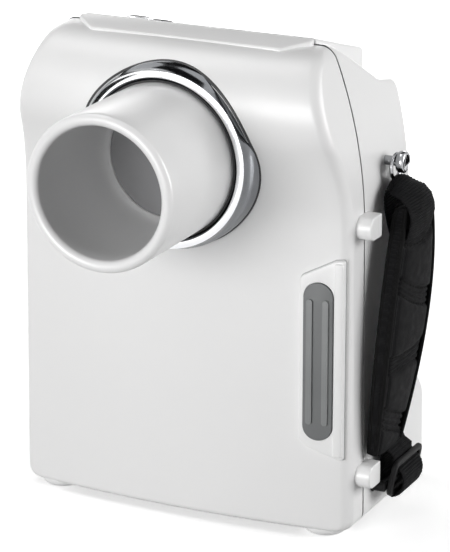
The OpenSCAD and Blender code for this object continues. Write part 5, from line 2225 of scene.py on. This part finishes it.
@dataclass
class Studio:
    """Pale floor, white surroundings, soft lamps, dark cards and the camera."""

    floor_z: float = -3.0
    floor_drop: float = 0.05
    floor_size: float = 6.0
    floor_tones: tuple[Colour, Colour] = ((0.87, 0.87, 0.87), (0.89, 0.89, 0.89))
    floor_bounce: Colour = (0.2, 0.2, 0.2)
    # The floor glows less near the unit, which paints a faint shade round it.
    floor_glow: Flat = (0.5, 1.0)
    shade_fade_reach: Flat = (0.1, 0.9)
    ambient: float = 0.02
    lamps: tuple[Lamp, ...] = (
        Lamp("right_lamp", (1.7, 0.687, 0.65), size=1.2, power=31.0),
        Lamp("low_left_lamp", (-1.4, -1.4, 0.378), size=1.2, power=3.0),
        Lamp("low_front_lamp", (-0.25, -1.9, 0.16), size=1.2, power=40.0),
        Lamp("high_front_lamp", (-0.35, -1.9, 0.9), size=1.0, power=4.0),
        Lamp("high_left_lamp", (-0.82, -0.1, 1.88), size=0.9, power=10.5),
        Lamp("rear_lamp", (-0.99, 1.715, 0.378), size=1.2, power=13.0),
    )
    card_tones: tuple[Colour, Colour] = ((0.012, 0.012, 0.013), (0.02, 0.02, 0.021))
    cards: tuple[Card, ...] = (
        Card("ceiling_card", (-0.25, 0.75, 1.15), aim=(0.0, 0.0, 0.2), width=0.9, height=0.8),
        Card("left_card", (-0.74, -0.74, 0.19), aim=(0.0, -0.05, 0.17), width=0.45, height=0.36),
        Card("slim_card", (-0.15, -1.0, 0.17), aim=(0.0, -0.05, 0.17), width=0.035, height=0.3),
        Card("right_card", (0.5, 0.5, 0.003), aim=(0.5, 0.5, 1.0), width=0.7, height=0.6),
    )
    eye: Point = (577.45, -1184.78, 532.34)
    eye_turn: Point = (71.86, 0.0, 25.84)
    lens: float = 195.65
    sensor: float = 36.0

    def seen(self, tree: bpy.types.NodeTree) -> Socket:
        """Adds a value for what the camera sees straight, in gloss or through glass.

        Args:
            tree: Where the nodes go.

        Returns:
            Its socket, 1 where it is seen.
        """
        path = tree.nodes.new("ShaderNodeLightPath")
        total = path.outputs["Is Camera Ray"]
        for name in ("Is Glossy Ray", "Is Transmission Ray"):
            total = combine(tree, "MAXIMUM", total, path.outputs[name])
        return total

    def floor_paint(self) -> bpy.types.Material:
        """Makes the floor's finish: pale where it is seen, darker for the light that it throws back, and glowing
        less near the unit, a painted shade round it.

        Returns:
            Its material.
        """
        recipe = Recipe("pale_floor")
        seen = self.seen(recipe.tree)
        paint = recipe.add("Mix")
        paint.data_type = "RGBA"
        dark, pale = (socket for socket in paint.inputs if socket.type == "RGBA")
        dark.default_value = (*self.floor_bounce, 1.0)
        recipe.tree.links.new(seen, paint.inputs["Factor"])
        recipe.tree.links.new(recipe.tones(recipe.grain(60, detail=3), *self.floor_tones), pale)
        recipe.link(next(socket for socket in paint.outputs if socket.type == "RGBA"), "Base Color")
        recipe.set(Roughness=0.9, Specular_IOR_Level=0.1, Emission_Color=(1.0, 1.0, 1.0, 1.0))
        # The glow rises with distance from the unit, so the floor near it is painted darker.
        away = recipe.add("VectorMath", Vector=recipe.where)
        away.operation = "LENGTH"
        rise = recipe.spread(away.outputs["Value"], self.shade_fade_reach, self.floor_glow)
        recipe.link(combine(recipe.tree, "MULTIPLY", seen, rise), "Emission Strength")
        return recipe.material

    def floor(self) -> None:
        """Lays the floor, which keeps the unit's shadow, has a painted shade round the unit and fades into the white
        surroundings.
        """
        half = self.floor_size / 2 / MM
        corners = [(x, y, self.floor_z - self.floor_drop) for x, y, _ in rectangle(half, half)]
        made = piece("floor", corners, [(0, 1, 2, 3)], closed=False)
        made.data.materials.append(self.floor_paint())

    def surroundings(self) -> None:
        """Makes the world white to the camera and gives its plain light."""
        world = bpy.data.worlds.new("white_room")
        bpy.context.scene.world = world
        world.use_nodes = True
        tree = world.node_tree
        spread = tree.nodes.new("ShaderNodeMapRange")
        tree.links.new(self.seen(tree), spread.inputs["Value"])
        spread.inputs["To Min"].default_value = self.ambient
        spread.inputs["To Max"].default_value = 1.0
        tree.links.new(spread.outputs["Result"], tree.nodes["Background"].inputs["Strength"])
        tree.nodes["Background"].inputs["Color"].default_value = (1.0, 1.0, 1.0, 1.0)

    def light(self) -> None:
        """Hangs the lamps."""
        for lamp in self.lamps:
            data = bpy.data.lights.new(lamp.name, "AREA")
            data.energy = lamp.power
            data.size = lamp.size
            made = bpy.data.objects.new(lamp.name, data)
            made.location = lamp.place
            made.rotation_euler = (Vector(lamp.aim) - Vector(lamp.place)).to_track_quat("-Z", "Y").to_euler()
            bpy.context.scene.collection.objects.link(made)

    def hang_cards(self) -> None:
        """Hangs the dark boards that give bright metal its contrast."""
        recipe = Recipe("dark_card")
        recipe.link(recipe.tones(recipe.grain(40), *self.card_tones), "Base Color")
        recipe.set(Roughness=0.9, Specular_IOR_Level=0.0)
        for card in self.cards:
            turn = (Vector(card.aim) - Vector(card.place)).to_track_quat("Z", "Y")
            corners = [Vector((a, b, 0)) for a, b, _ in rectangle(card.width / 2, card.height / 2)]
            spots = [tuple((Vector(card.place) + turn @ corner) / MM) for corner in corners]
            made = piece(card.name, spots, [(0, 1, 2, 3)], closed=False)
            made.data.materials.append(recipe.material)
            made.visible_camera = made.visible_diffuse = made.visible_shadow = False

    def camera(self) -> None:
        """Sets up the camera where the picture was taken from."""
        data = bpy.data.cameras.new("camera")
        data.lens = self.lens
        data.sensor_width = self.sensor
        made = bpy.data.objects.new("camera", data)
        made.location = Vector(self.eye) * MM
        made.rotation_euler = [math.radians(t) for t in self.eye_turn]
        bpy.context.scene.collection.objects.link(made)
        bpy.context.scene.camera = made

    def build(self) -> None:
        """Builds the whole studio."""
        bpy.context.scene.view_settings.view_transform = "Standard"
        self.camera()
        self.floor()
        self.surroundings()
        self.light()
        self.hang_cards()


def main() -> None:
    """Builds and dresses the unit, sub-assembly by sub-assembly, and sets up the studio."""
    logging.basicConfig(level=logging.INFO, format="%(name)s %(message)s")
    Studio().build()
    shape = CasingShape()
    for assembly in (
        Casing(shape=shape), AimingCone(shape=shape), Grip(shape=shape), SideFittings(shape=shape),
        ControlDeck(), HandStrap(), Inside(),
    ):
        assembly.build()
        assembly.dress()


if __name__ == "__main__":
    main()
